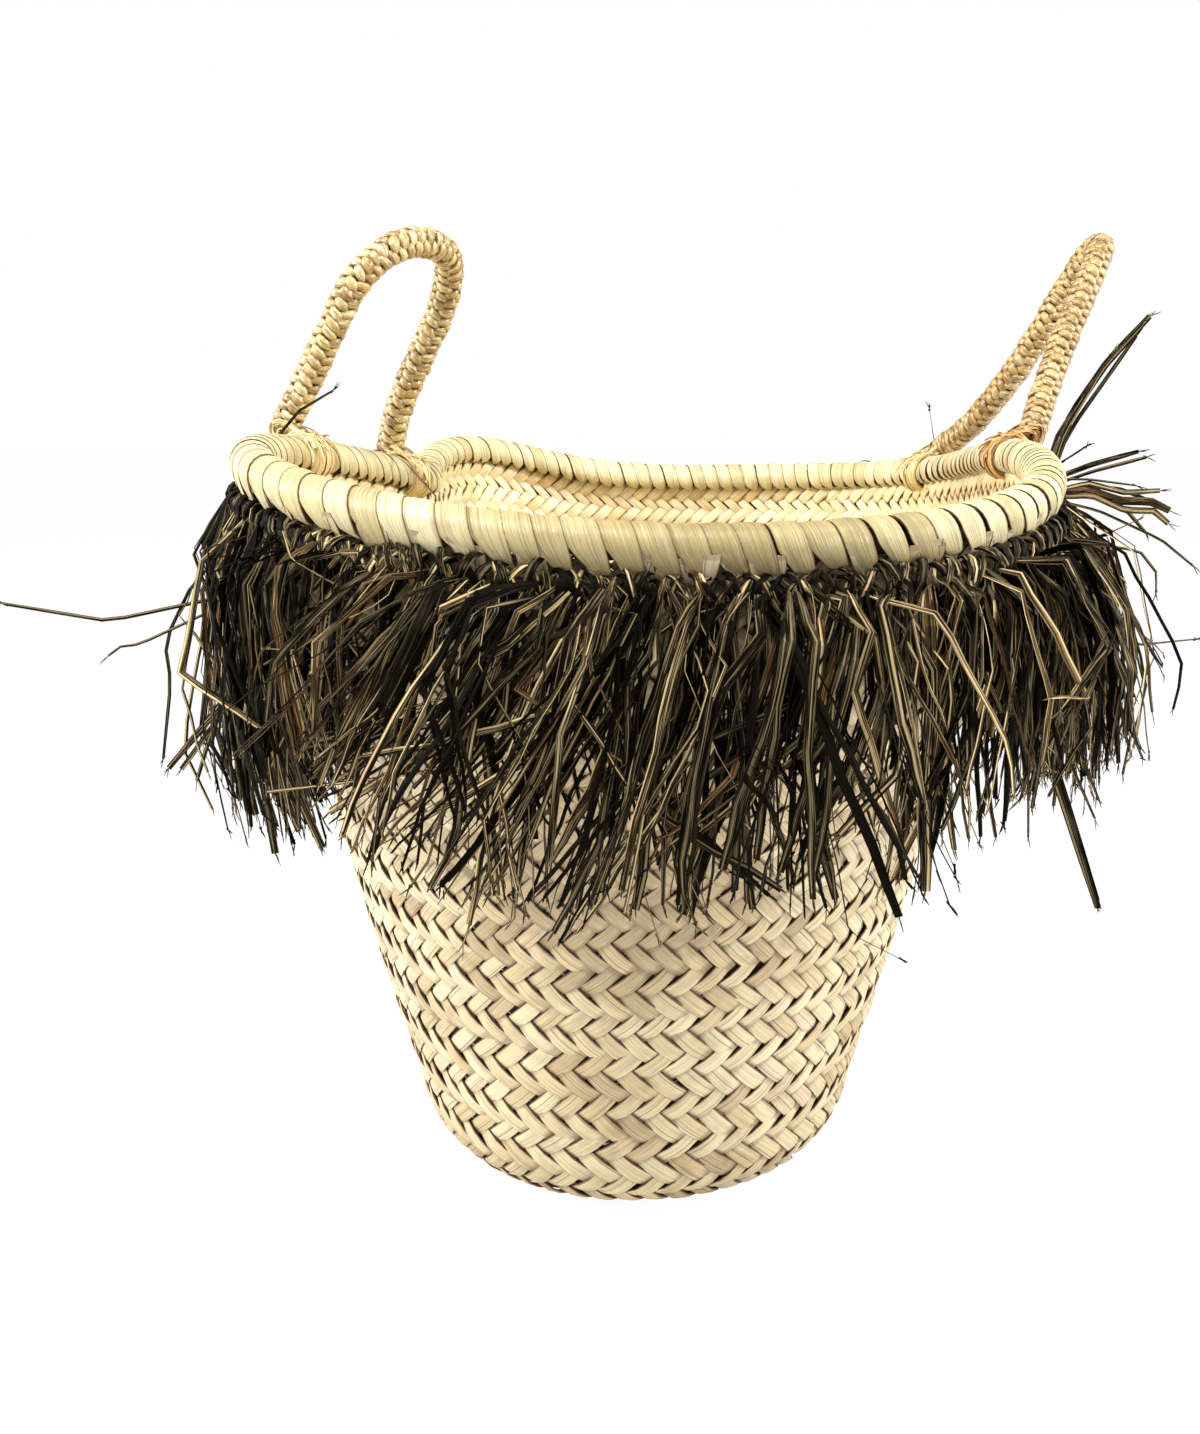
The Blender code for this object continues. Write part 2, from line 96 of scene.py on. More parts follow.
RIM_TURNS = np.linspace(0, FULL_TURN, 1441)
RIM_POINTS = mouth(RIM_TURNS)
RIM_GONE = np.concatenate(([0], np.cumsum(np.linalg.norm(np.diff(RIM_POINTS, axis=0), axis=1))))
RIM_LENGTH = RIM_GONE[-1]
RIM_SEEN = np.unwrap(np.arctan2(RIM_POINTS[:, 1], RIM_POINTS[:, 0]))
print(f"rim: {1000 * RIM_LENGTH:.0f} mm round")


def rim_turn(gone):
    """Turn angle after a length of rim, in metres, which may run past a full round."""
    rounds = np.floor(gone / RIM_LENGTH)
    return np.interp(gone - rounds * RIM_LENGTH, RIM_GONE, RIM_TURNS) + rounds * FULL_TURN


def rim_frame(turn):
    """Roll centre, level outward direction and direction along the rim."""
    step = 0.002
    along = unit(mouth(turn + step) - mouth(turn - step))
    return mouth(turn), unit(np.cross(along, UP)), along


# %% [markdown]
# The profile is a flat floor, a rounded edge, and a wall that widens up to the belly and then flows
# into the plan of the mouth. A place on the wall is a turn angle and a level. The level is measured
# along the wall, because the weaver's rows keep their height where the wall bends.

# %% The profile of the wall
FLOOR_RADIUS = 0.0664
EDGE_RADIUS = 0.024
EDGE_TOP = 0.024
PROFILE_HEIGHTS = (0.024, 0.078, 0.143)
PROFILE_RADII = (0.0904, 0.105, 0.1203)
BELLY_HEIGHT = 0.143
NECK_HEIGHT = 0.2463
WALL = 0.003
EDGE_MIDDLE = EDGE_RADIUS - WALL / 2
EDGE_ARC = EDGE_MIDDLE * math.pi / 2


def neck_share(height):
    """How far the wall has gone over from the round belly, 0, to the plan of the mouth, 1."""
    share = np.clip((height - BELLY_HEIGHT) / (NECK_HEIGHT - BELLY_HEIGHT), 0, 1)
    return 0.5 * share + 0.5 * share * share * (3 - 2 * share)


def skin(turn, level):
    """Middle of the wall. The level runs from under the floor's edge, 0, up the wall; it is
    negative on the flat floor."""
    top = mouth(turn)
    reach = np.hypot(top[..., 0], top[..., 1])
    bend = np.clip(level / EDGE_MIDDLE, 0, math.pi / 2)
    edge_radius = FLOOR_RADIUS + np.minimum(level, 0) + EDGE_MIDDLE * np.sin(bend)
    edge_height = WALL / 2 + EDGE_MIDDLE * (1 - np.cos(bend))
    height = EDGE_TOP + np.maximum(level - EDGE_ARC, 0)
    body = np.interp(height, PROFILE_HEIGHTS, PROFILE_RADII) - WALL / 2
    blend = neck_share(height)
    on_wall = level > EDGE_ARC
    radius = np.where(on_wall, body + (reach - body) * blend, edge_radius)
    z = np.where(on_wall, height + blend * (top[..., 2] - RIM_HEIGHT), edge_height)
    return np.stack((top[..., 0] / reach * radius, top[..., 1] / reach * radius, z), axis=-1)


def level_at(turn, z):
    """Level of the wall at a height above the ground."""
    lift = mouth(turn)[..., 2] - RIM_HEIGHT
    height = z
    for _ in range(4):
        height = z - lift * neck_share(height)
    return height - EDGE_TOP + EDGE_ARC


def skin_out(turn, level):
    """Direction square to the wall, out of the basket."""
    around = skin(turn + 0.01, level) - skin(turn - 0.01, level)
    upward = skin(turn, level + 0.002) - skin(turn, level - 0.002)
    return unit(np.cross(around, upward))


front_belly = skin(np.array(math.radians(270)), level_at(np.array(math.radians(270)), np.array(BELLY_HEIGHT)))
print(f"belly radius at the front: {1000 * np.hypot(front_belly[0], front_belly[1]):.0f} mm")

# %% [markdown]
# Thousands of leaf strips share a few shapes. Each shape is modelled once as a small closed bmesh
# near the origin, in its own plain coordinates. Duplicating everything again and again doubles the
# number of copies each time, which is much faster than adding them one by one. The copies are then
# moved all together: a function turns each vertex's plain coordinates into its place on the basket.

# %% Making and placing many copies of one small shape


def small_sheet(along, across):
    """A flat closed strip, 1 long on X and 1 wide on Y, cut into cells, with a UV map."""
    leaf = bmesh.new()
    uv = leaf.loops.layers.uv.new("UVMap")
    bmesh.ops.create_grid(leaf, x_segments=along, y_segments=across, size=0.5)
    for face in leaf.faces:
        for loop in face.loops:
            loop[uv].uv = (loop.vert.co.y + 0.5, loop.vert.co.x + 0.5)
    under = bmesh.ops.duplicate(leaf, geom=list(leaf.verts) + list(leaf.edges) + list(leaf.faces))["geom"]
    low_verts = {item for item in under if isinstance(item, bmesh.types.BMVert)}
    for vert in leaf.verts:
        vert.co.z = -0.5 if vert in low_verts else 0.5
    rims = [edge for edge in leaf.edges if edge.is_boundary]
    bmesh.ops.bridge_loops(leaf, edges=rims)
    bmesh.ops.recalc_face_normals(leaf, faces=leaf.faces)
    return leaf


def grown_ring(shape, edges):
    """Extrudes a ring of edges in place; gives the new ring's vertices and its edges."""
    grown = bmesh.ops.extrude_edge_only(shape, edges=edges)["geom"]
    verts = [item for item in grown if isinstance(item, bmesh.types.BMVert)]
    new = set(verts)
    across = [item for item in grown if isinstance(item, bmesh.types.BMEdge)]
    return verts, [edge for edge in across if new.issuperset(edge.verts)]


def small_strand(steps, sides=4):
    """A closed bar, 1 long on X and about 1 thick, cut into steps, with a UV map."""
    bar = bmesh.new()
    ring = bmesh.ops.create_circle(bar, segments=sides, radius=0.5, cap_ends=True)["verts"]
    for vert in ring:
        vert.co = (0, vert.co.x, vert.co.y)
    edges = list(bar.edges)
    for _ in range(steps):
        moved, edges = grown_ring(bar, edges)
        bmesh.ops.translate(bar, verts=moved, vec=(1 / steps, 0, 0))
    bmesh.ops.contextual_create(bar, geom=edges)
    uv = bar.loops.layers.uv.new("UVMap")
    for face in bar.faces:
        for loop in face.loops:
            loop[uv].uv = (loop.vert.co.y + 0.5, loop.vert.co.x)
    bmesh.ops.recalc_face_normals(bar, faces=bar.faces)
    return bar


def many(name, shape, count, place, shades, sharp=50.0):
    """An object of count copies of the shape. place gets each vertex's copy number and its plain
    coordinates, and gives its place; shades holds one number from 0 to 1 for each copy."""
    sheet = shape.copy()
    verts_each, faces_each = len(sheet.verts), len(sheet.faces)
    made = 1
    while made < count:
        more = min(made, count - made)
        sheet.faces.ensure_lookup_table()
        faces = sheet.faces[:more * faces_each]
        parts = {item: None for face in faces for item in (*face.verts, *face.edges)}
        bmesh.ops.duplicate(sheet, geom=list(parts) + faces)
        made += more
    data = bpy.data.meshes.new(name)
    sheet.to_mesh(data)
    sheet.free()
    plain = np.empty(len(data.vertices) * 3)
    data.vertices.foreach_get("co", plain)
    copy = np.arange(len(data.vertices)) // verts_each
    data.vertices.foreach_set("co", place(copy, plain.reshape(-1, 3)).ravel())
    shade = data.attributes.new("shade", "FLOAT", "POINT")
    shade.data.foreach_set("value", np.asarray(shades, np.float32)[copy])
    outward = bmesh.new()
    outward.from_mesh(data)
    bmesh.ops.recalc_face_normals(outward, faces=outward.faces)
    outward.to_mesh(data)
    outward.free()
    data.shade_smooth()
    data.set_sharp_from_angle(angle=math.radians(sharp))
    made_object = bpy.data.objects.new(name, data)
    bpy.context.scene.collection.objects.link(made_object)
    print(f"{name}: {count} copies, {faces_each * count} faces")
    return made_object


# %% [markdown]
# The palm leaf, the raffia and the straw braid are all dry plant fibre. What they share is a fine
# grain that runs along the strip, blotches of tone, and a tone of its own for each strip. It could be
# painted as an image, but noise that is stretched along the strip stays sharp at any distance. The
# grain is a shader node group, built once and placed in every material. It reads the UV map, whose V
# runs along the strip, and the shade attribute, which moves the pattern from strip to strip, so no
# two strips look alike.

# %% The node group for fibre grain


def node(tree, kind, inputs=None, **settings):
    """A new node with its settings, and its inputs as values or as sockets to link."""
    made = tree.nodes.new(kind)
    for key, value in settings.items():
        setattr(made, key, value)
    for key, value in (inputs or {}).items():
        if isinstance(value, bpy.types.NodeSocket):
            tree.links.new(value, made.inputs[key])
        else:
            made.inputs[key].default_value = value
    return made


def maths(tree, operation, first, second=0.0, third=0.0):
    return node(tree, "ShaderNodeMath", {0: first, 1: second, 2: third}, operation=operation).outputs[0]


def blend_colour(tree, factor, first, second):
    """The first colour, going over to the second where the factor is 1."""
    made = node(tree, "ShaderNodeMix", {0: factor, 6: first, 7: second}, data_type="RGBA", clamp_factor=True)
    return made.outputs[2]


def make_grain_group():
    """Lines along the strip, blotches, masks for its edges, ends and fold, and its own shade."""
    group = bpy.data.node_groups.new("fibre_grain", "ShaderNodeTree")
    for name, value in (("Lines Across", 14.0), ("Line Length", 0.8), ("Blotch Size", 90.0),
                        ("Edge Start", 0.4), ("Fold Width", 0.05)):
        taken = group.interface.new_socket(name=name, in_out="INPUT", socket_type="NodeSocketFloat")
        taken.default_value = value
    for name in ("Lines", "Fine Lines", "Blotches", "Edge", "Upper Edge", "Ends", "Fold", "Shade"):
        group.interface.new_socket(name=name, in_out="OUTPUT", socket_type="NodeSocketFloat")
    start = node(group, "NodeGroupInput")
    uv = node(group, "ShaderNodeUVMap", uv_map="UVMap")
    parts = node(group, "ShaderNodeSeparateXYZ", {0: uv.outputs[0]})
    shade = node(group, "ShaderNodeAttribute", attribute_name="shade", attribute_type="GEOMETRY")
    apart = maths(group, "MULTIPLY", shade.outputs["Fac"], 71.0)
    across = maths(group, "MULTIPLY", parts.outputs[0], start.outputs["Lines Across"])
    along = maths(group, "MULTIPLY", parts.outputs[1], start.outputs["Line Length"])
    place = node(group, "ShaderNodeCombineXYZ", {0: across, 1: along, 2: apart})
    lines = node(group, "ShaderNodeTexNoise", {"Vector": place.outputs[0], "Scale": 1.0, "Detail": 2.0,
                                               "Roughness": 0.5})
    fine = node(group, "ShaderNodeTexNoise", {"Vector": place.outputs[0], "Scale": 2.6, "Detail": 2.0,
                                              "Roughness": 0.6})
    spot = node(group, "ShaderNodeTexCoord")
    blotches = node(group, "ShaderNodeTexNoise", {"Vector": spot.outputs["Object"],
                                                  "Scale": start.outputs["Blotch Size"], "Detail": 3.0})
    middle = maths(group, "ABSOLUTE", maths(group, "SUBTRACT", parts.outputs[0], 0.5))
    edge = node(group, "ShaderNodeMapRange", {0: middle, 1: start.outputs["Edge Start"], 2: 0.5},
                interpolation_type="SMOOTHSTEP")
    upper = node(group, "ShaderNodeMapRange", {0: parts.outputs[0], 1: 0.90, 2: 0.96},
                 interpolation_type="SMOOTHSTEP")
    length_middle = maths(group, "ABSOLUTE", maths(group, "SUBTRACT", parts.outputs[1], 0.5))
    ends = node(group, "ShaderNodeMapRange", {0: length_middle, 1: 0.26, 2: 0.36},
                interpolation_type="SMOOTHSTEP")
    # A fold line runs along two strips in three, at a place of its own; past 1 it isn't there.
    own = maths(group, "FRACT", maths(group, "MULTIPLY", shade.outputs["Fac"], 13.7))
    line_at = maths(group, "MULTIPLY_ADD", own, 1.3, 0.12)
    from_line = maths(group, "ABSOLUTE", maths(group, "SUBTRACT", parts.outputs[0], line_at))
    sharp_line = maths(group, "MULTIPLY", start.outputs["Fold Width"], 0.4)
    fold = node(group, "ShaderNodeMapRange", {0: from_line, 1: start.outputs["Fold Width"], 2: sharp_line})
    end = node(group, "NodeGroupOutput")
    for name, value in (("Lines", lines.outputs["Fac"]), ("Fine Lines", fine.outputs["Fac"]),
                        ("Blotches", blotches.outputs["Fac"]), ("Edge", edge.outputs[0]),
                        ("Upper Edge", upper.outputs[0]), ("Ends", ends.outputs[0]),
                        ("Fold", fold.outputs[0]), ("Shade", shade.outputs["Fac"])):
        group.links.new(value, end.inputs[name])
    return group


fibre_grain = make_grain_group()


def colour(red, green, blue):
    """A colour as the shader wants it, from the 0 to 255 numbers of a picture."""
    linear = [c / 12.92 if c <= 0.04045 else ((c + 0.055) / 1.055) ** 2.4
              for c in (red / 255, green / 255, blue / 255)]
    return (*linear, 1.0)


def fibre(name, tones, dark, bright, roughness, lines=14.0, length=0.8, dark_share=0.45, bright_share=0.3,
          edge=0.5, edge_start=0.42, bump_height=0.0003, upper=0.0, ends=0.0, fold=0.0, painted_crease_highlight=0.0,
          fold_width=0.05, dull_below=-1.0):
    """A material of dry plant fibre. tones is a list of (place, colour) for the strips' own shades,
    dark is the colour of furrows and edges, and bright that of ridges. edge, upper, ends and fold say
    how much painted shade darkens the strip's edges, upper edge, ends and fold, where strips meet, dive
    under each other or fold over, and painted_crease_highlight how bright a painted highlight along its
    fold is."""
    made = bpy.data.materials.new(name)
    made.use_nodes = True
    tree = made.node_tree
    shader = tree.nodes["Principled BSDF"]
    grain = node(tree, "ShaderNodeGroup", node_tree=fibre_grain)
    for key, value in (("Lines Across", lines), ("Line Length", length), ("Edge Start", edge_start),
                       ("Fold Width", fold_width)):
        grain.inputs[key].default_value = value
    ramp = node(tree, "ShaderNodeValToRGB", {0: grain.outputs["Shade"]})
    stops = ramp.color_ramp.elements
    stops[0].position, stops[0].color = tones[0]
    stops[1].position, stops[1].color = tones[-1]
    for place, tone in tones[1:-1]:
        stops.new(place).color = tone
    furrow = node(tree, "ShaderNodeMapRange", {0: grain.outputs["Lines"], 1: 0.36, 2: 0.56,
                                               3: dark_share, 4: 0.0})
    base = blend_colour(tree, furrow.outputs[0], ramp.outputs[0], dark)
    lit = node(tree, "ShaderNodeMapRange", {0: grain.outputs["Shade"], 1: dull_below, 2: dull_below + 0.4})
    most = maths(tree, "MULTIPLY", lit.outputs[0], bright_share)
    ridge = node(tree, "ShaderNodeMapRange", {0: grain.outputs["Fine Lines"], 1: 0.54, 2: 0.66,
                                              3: 0.0, 4: most})
    base = blend_colour(tree, ridge.outputs[0], base, bright)
    patch = node(tree, "ShaderNodeMapRange", {0: grain.outputs["Blotches"], 1: 0.5, 2: 0.75, 3: 0.0, 4: 0.3})
    base = blend_colour(tree, patch.outputs[0], base, dark)
    # Painted shade: edges, upper edge, ends and fold are darkened where strips meet, dive under each other or
    # fold over.
    for mask, share in (("Edge", edge), ("Upper Edge", upper), ("Ends", ends), ("Fold", fold)):
        if share:
            base = blend_colour(tree, maths(tree, "MULTIPLY", grain.outputs[mask], share), base, dark)
    # Painted highlight: a bright line along the fold.
    if painted_crease_highlight:
        broken = node(tree, "ShaderNodeMapRange", {0: grain.outputs["Lines"], 1: 0.38, 2: 0.52, 3: 0.0,
                                                   4: painted_crease_highlight})
        bright_line = maths(tree, "MULTIPLY", maths(tree, "MULTIPLY", grain.outputs["Fold"], lit.outputs[0]),
                            broken.outputs[0])
        base = blend_colour(tree, bright_line, base, bright)
    tree.links.new(base, shader.inputs["Base Color"])
    rough = node(tree, "ShaderNodeMapRange", {0: grain.outputs["Lines"], 1: 0.3, 2: 0.7,
                                              3: roughness + 0.12, 4: roughness - 0.08})
    tree.links.new(rough.outputs[0], shader.inputs["Roughness"])
    height = maths(tree, "MULTIPLY_ADD", grain.outputs["Fine Lines"], 0.4, grain.outputs["Lines"])
    raised = node(tree, "ShaderNodeBump", {"Strength": 0.7, "Distance": bump_height, "Height": height})
    tree.links.new(raised.outputs[0], shader.inputs["Normal"])
    return made


# %% [markdown]
# Colours come next. A leaf that dries in the sun turns cream where it was pale and tan where it was
# green, so each strip picks its tone from a ramp with its own shade. Inside the basket the leaf is
# painted warmer and brighter than outside, as painted light. The wraps of the rim are glossier, the
# straw of the handles is the glossiest, and the dyed raffia is nearly black, with brown and straw
# coloured strands where the dye is thin.

# %% Leaf, raffia and straw
# Painted shade: the two darkest tones go to the tabs at the front and under the fringe.
palm_leaf = fibre("palm_leaf", [(0.0, colour(184, 162, 122)), (0.08, colour(207, 184, 138)),
                                (0.3, colour(219, 199, 156)), (0.6, colour(231, 215, 173)),
                                (0.85, colour(223, 202, 168)), (1.0, colour(214, 200, 154))],
                  colour(96, 66, 40), colour(250, 240, 208), 0.5, lines=9.0, length=0.7, dark_share=0.26,
                  bright_share=0.3, edge=0.8, edge_start=0.45, upper=0.85, ends=0.40, fold=0.7,
                  fold_width=0.035)
# Painted light: the inside leaf is brighter and warmer than the outside.
inner_leaf_painted_light = fibre("inner_leaf_painted_light", [(0.0, colour(242, 216, 158)), (0.4, colour(251, 233, 184)),
                                  (1.0, colour(253, 242, 200))],
                   colour(140, 98, 56), colour(255, 246, 210), 0.45, lines=9.0, length=0.7, dark_share=0.20,
                   bright_share=0.3, edge=0.2, edge_start=0.40, upper=0.6, ends=0.10, fold=0.4)
# Painted shade: the dark long edges of the wraps stand for the shaded seams between them.
rim_leaf = fibre("rim_leaf", [(0.0, colour(170, 152, 98)), (0.35, colour(216, 199, 144)),
                              (0.7, colour(242, 230, 182)), (1.0, colour(236, 222, 172))],
                 colour(104, 74, 38), colour(252, 244, 208), 0.34, lines=22.0, length=0.5, dark_share=0.42,
                 bright_share=0.35, edge=1.0, edge_start=0.44, bump_height=0.0006)
# The raffia's bright fine lines are partly its grain and partly painted highlight; its bright crease line is
# painted highlight.
raffia = fibre("dark_raffia", [(0.0, colour(4, 3, 2)), (0.26, colour(8, 6, 4)),
                               (0.42, colour(22, 15, 8)), (0.54, colour(42, 29, 15)),
                               (0.66, colour(84, 54, 26)), (0.78, colour(78, 62, 36)),
                               (0.93, colour(134, 106, 68)), (1.0, colour(226, 178, 134))],
               colour(4, 3, 2), colour(232, 206, 152), 0.5, lines=3.0, length=1.4, dark_share=0.94,
               bright_share=0.6, edge=0.8, edge_start=0.32, bump_height=0.0005, painted_crease_highlight=0.95, fold_width=0.17,
               dull_below=0.10)
raffia_shader = raffia.node_tree.nodes["Principled BSDF"]
raffia_shader.inputs["Specular IOR Level"].default_value = 0.07
raffia_shader.inputs["Specular Tint"].default_value = (1.0, 0.78, 0.5, 1.0)
# Painted shade: the dark edges of the beads, where each dives between its neighbours.
straw = fibre("straw_braid", [(0.0, colour(196, 158, 92)), (0.5, colour(226, 200, 134)),
                              (1.0, colour(246, 230, 174))],
              colour(112, 76, 30), colour(255, 248, 214), 0.27, lines=4.0, length=0.8, dark_share=0.7,
              bright_share=0.5, edge=0.95, edge_start=0.22, bump_height=0.0005)
straw.node_tree.nodes["Principled BSDF"].inputs["Specular IOR Level"].default_value = 0.8
golden = fibre("golden_fibre", [(0.0, colour(186, 124, 58)), (0.35, colour(222, 176, 104)),
                                (0.7, colour(244, 218, 152)), (1.0, colour(252, 238, 186))],
               colour(128, 78, 34), colour(255, 238, 190), 0.4, lines=4.0, length=4.0, dark_share=0.3,
               edge_start=0.36)
finishes = (palm_leaf, inner_leaf_painted_light, rim_leaf, raffia, straw, golden)
print("finishes:", ", ".join(finish.name for finish in finishes))

# %% [markdown]
# The plait is a twill: each leaf strip passes over two strips and under two, at about 45 degrees, so
# the wall shows rows of short tabs that lean one way and then the other. Whole strips could be woven
# over and under along the wall, but nobody sees them below the surface. So each tab that shows is one
# copy of a small closed strip, which arches over the middle and dives under the next row at both
# ends. The basket is sewn from courses of braid: low courses have broad leaves, high ones have finer
# leaves. Tabs at the front are painted a little darker than the rest as painted shade, and tabs under
# the fringe darker still, as the fringe's painted shadow.

# %% Courses of the plait
# Lowest level, number of rows, height of a row, number of tabs round, and the lean of the first row.
COURSES = ((0.0, 5, 0.0098, 51, 1), (0.049, 4, 0.0100, 60, -1), (0.089, 4, 0.0090, 72, -1),
           (0.125, 4, 0.0084, 84, -1), (0.1586, 4, 0.0075, 99, -1), (0.1886, 4, 0.0070, 113, -1),
           (0.2166, 4, 0.0066, 127, -1), (0.2430, 4, 0.0060, 141, -1))
FLOOR_COURSES = ((-0.0664, 1, 0.0098, 6, 1), (-0.0566, 2, 0.0095, 12, 1), (-0.0376, 2, 0.0094, 24, 1),
                 (-0.0188, 2, 0.0094, 38, 1))
# A tab's half length in tabs, its thickness, its arch along and across, and its stand off the wall.
TAB_REACH = 1.5
TAB_THICKNESS = 0.0005
TAB_ARCH = 0.0012
TAB_CROWN = 0.0004
TAB_STAND = 0.00055
TWIST_LIFT = 0.00022


def course_turns(level):
    """Turn angles and the share of the way round, for equal steps along a level of the wall."""
    turns = np.linspace(-FULL_TURN, 2 * FULL_TURN, 2161)
    points = skin(turns, np.full_like(turns, level))
    gone = np.concatenate(([0], np.cumsum(np.linalg.norm(np.diff(points, axis=0), axis=1))))
    return turns, gone / gone[-1] * 3 - 1


def tabs_of(course, side, chance):
    """One row of numbers for each tab of a course: where it lies and how it differs."""
    low, rows, height, count, lean = course
    tabs = []
    phase = chance.random()
    for row in range(rows):
        slant = lean * (-1) ** row * side
        over = -0.04 if slant > 0 else 0.05
        level = low + (row + 0.5) * height
        for tab in range(count):
            share = (tab + 0.5 * (row % 2) + phase) / count
            width = chance.uniform(0.90, 1.02) + over
            shift = chance.gauss(-0.03, 0.03)
            turned = chance.gauss(0, 0.09)
            rise = chance.gauss(0.0045 * over, 0.00016)
            twist = chance.uniform(-0.6, 1.2)
            middle = low + rows * height / 2
            tabs.append((share, level, slant, 1 / count, height, width, shift, turned, rise, twist, middle))
    return tabs


def plait(name, courses, side, seed):
    """Leaf tabs of several courses, on the outside of the wall (side 1) or inside it (side -1)."""
    chance = random.Random(seed)
    tabs = np.array([tab for course in courses for tab in tabs_of(course, side, chance)])
    tables = {level: course_turns(level) for level in np.unique(tabs[:, 10])}

    def place(copy, plain):
        share, level, slant, pitch, height, width, shift, turned, rise, twist, middle = tabs[copy].T
        along = plain[:, 0] * 2 * TAB_REACH
        slim = 1 - 0.18 * (2 * plain[:, 0]) ** 4
        across = plain[:, 1] * width * slim + shift + turned * along * 0.25
        around = share + pitch / 2 * (along - slant * across)
        up = level + height / 2 * (slant * along + across)
        turn = np.empty_like(around)
        for mid, (turns, shares) in tables.items():
            here = middle == mid
            turn[here] = np.interp(around[here], shares, turns)
        up = np.maximum(up, -FLOOR_RADIUS + 0.0006)
        # The rows of a hand-sewn course waver a little on their way round.
        up += 0.0007 * np.sin(3 * turn + 260 * middle) + 0.0005 * np.sin(7 * turn + 90 * middle)
        crown = TAB_CROWN * (1 - (2 * plain[:, 1]) ** 2)
        arch = TAB_ARCH * np.cos(along * math.pi / 2)
        out = TAB_STAND + arch + crown + rise + twist * TWIST_LIFT * plain[:, 1]
        out = np.maximum(out, 0.0001) + plain[:, 2] * TAB_THICKNESS
        return skin(turn, up) + skin_out(turn, up) * (side * out)[:, None]

    shades = np.random.default_rng(seed).random(len(tabs))
    if side == 1:
        # Painted shade at the front, and painted shadow of the fringe under it.
        front = bump(tabs[:, 0] * FULL_TURN, 270, 31)
        shaded = front * smooth(tabs[:, 1], 0.105, 0.150)
        shades = np.clip(shades * (1 - 0.5 * front) - 0.6 * shaded, 0, 1)
    made = many(name, small_sheet(5, 3), len(tabs), place, shades)
    made.data.materials.append(palm_leaf if side == 1 else inner_leaf_painted_light)
    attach(made, "basket")
    return made


plait_low = plait("plait_outside_low", FLOOR_COURSES + COURSES[:4], 1, 11)
plait_high = plait("plait_outside_high", COURSES[4:], 1, 12)
plait_inside_low = plait("plait_inside_low", FLOOR_COURSES + COURSES[:4], -1, 13)
plait_inside_high = plait("plait_inside_high", COURSES[4:], -1, 14)
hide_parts("base_disc", "base_edge", "wall_course_1", "wall_course_2", "wall_course_3")
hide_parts("wall_course_4", "wall_course_5")

# %% [markdown]
# Between the tabs a plait is dark, because its strips lie in their own shadow two leaves deep.
# Without anything there, light would fall through the gaps. A thin closed shell in the middle of the
# wall stands for those hidden crossings, and its dark brown is painted shade. It could be a spun
# profile, but the mouth isn't round, so one ring of points is extruded up the wall and laid on the
# skin, and the solidify operator gives it its thickness.

# %% The shaded heart of the plait


def make_heart():
    heart = bmesh.new()
    turns = np.linspace(0, FULL_TURN, 145)[:-1]
    levels = [-0.0655, -0.045, -0.02, 0.0, 0.009, 0.018, 0.027, EDGE_ARC]
    levels += list(np.linspace(EDGE_ARC, 0.264, 22))[1:]
    first = [heart.verts.new(p) for p in skin(turns, np.full_like(turns, levels[0]))]
    edges = [heart.edges.new((first[i - 1], first[i])) for i in range(len(first))]
    bmesh.ops.contextual_create(heart, geom=edges)
    for level in levels[1:]:
        # The extruded ring comes in any order, so each vertex is laid by its own angle.
        ring, edges = grown_ring(heart, edges)
        for vert, point in zip(ring, heart_row(ring, level)):
            vert.co = point
    bmesh.ops.recalc_face_normals(heart, faces=heart.faces)
    bmesh.ops.solidify(heart, geom=list(heart.faces), thickness=0.0002)
    bmesh.ops.recalc_face_normals(heart, faces=heart.faces)
    data = bpy.data.meshes.new("plait_heart")
    heart.to_mesh(data)
    heart.free()
    data.shade_smooth()
    made = bpy.data.objects.new("plait_heart", data)
    bpy.context.scene.collection.objects.link(made)
    print("plait_heart:", len(data.polygons), "faces in", len(levels), "rings")
    return made


def heart_row(ring, level):
    """New places for a ring of vertices: the same turn angles, at another level."""
    places = np.array([vert.co for vert in ring])
    seen_from_middle = np.arctan2(places[:, 1], places[:, 0])
    fine = np.linspace(-math.pi - 0.6, math.pi + 0.6, 4001)
    flat = mouth(fine)
    seen = np.unwrap(np.arctan2(flat[:, 1], flat[:, 0]))
    seen += FULL_TURN * round((fine[2000] - seen[2000]) / FULL_TURN)
    turns = np.interp(seen_from_middle, seen, fine)
    return skin(turns, np.full_like(turns, level))


plait_heart = make_heart()
# Painted shade: the heart is dark brown, the colour of the leaf in its own shadow.
heart_painted_shade = fibre("heart_painted_shade", [(0.0, colour(60, 42, 24)), (1.0, colour(82, 58, 35))],
                   colour(40, 27, 16), colour(92, 66, 40), 0.8)
plait_heart.data.materials.append(heart_painted_shade)
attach(plait_heart, "basket")

# %% [markdown]
# The rim is a roll of leaf, wound with broad leaf strips side by side. One strip could be swept as a
# long spiral, but each real wrap has its own tone, width and lap, so each is a copy of the small
# sheet. It runs from under the inner side, over the top, and down the outer side, a little further
# along the rim as it goes down, and narrows where it is tucked in. The wraps lap at the front and the
# left. At the right front they stand apart and the rim's core shows between them, painted dark brown
# as shade, and their tucked ends stay broad. The wraps at the front are darker, partly in their own
# tone and partly as painted shade, and the dark edges of every wrap are painted shade of the seams.

# %% The wound rim
# Angles round the roll at which a wrap starts and ends, 90 being its top, and how far it slants.
WRAP_FROM, WRAP_TO = 242.0, -56.0
WRAP_SLANT = 0.0050
LEAF_THICKNESS = 0.0005


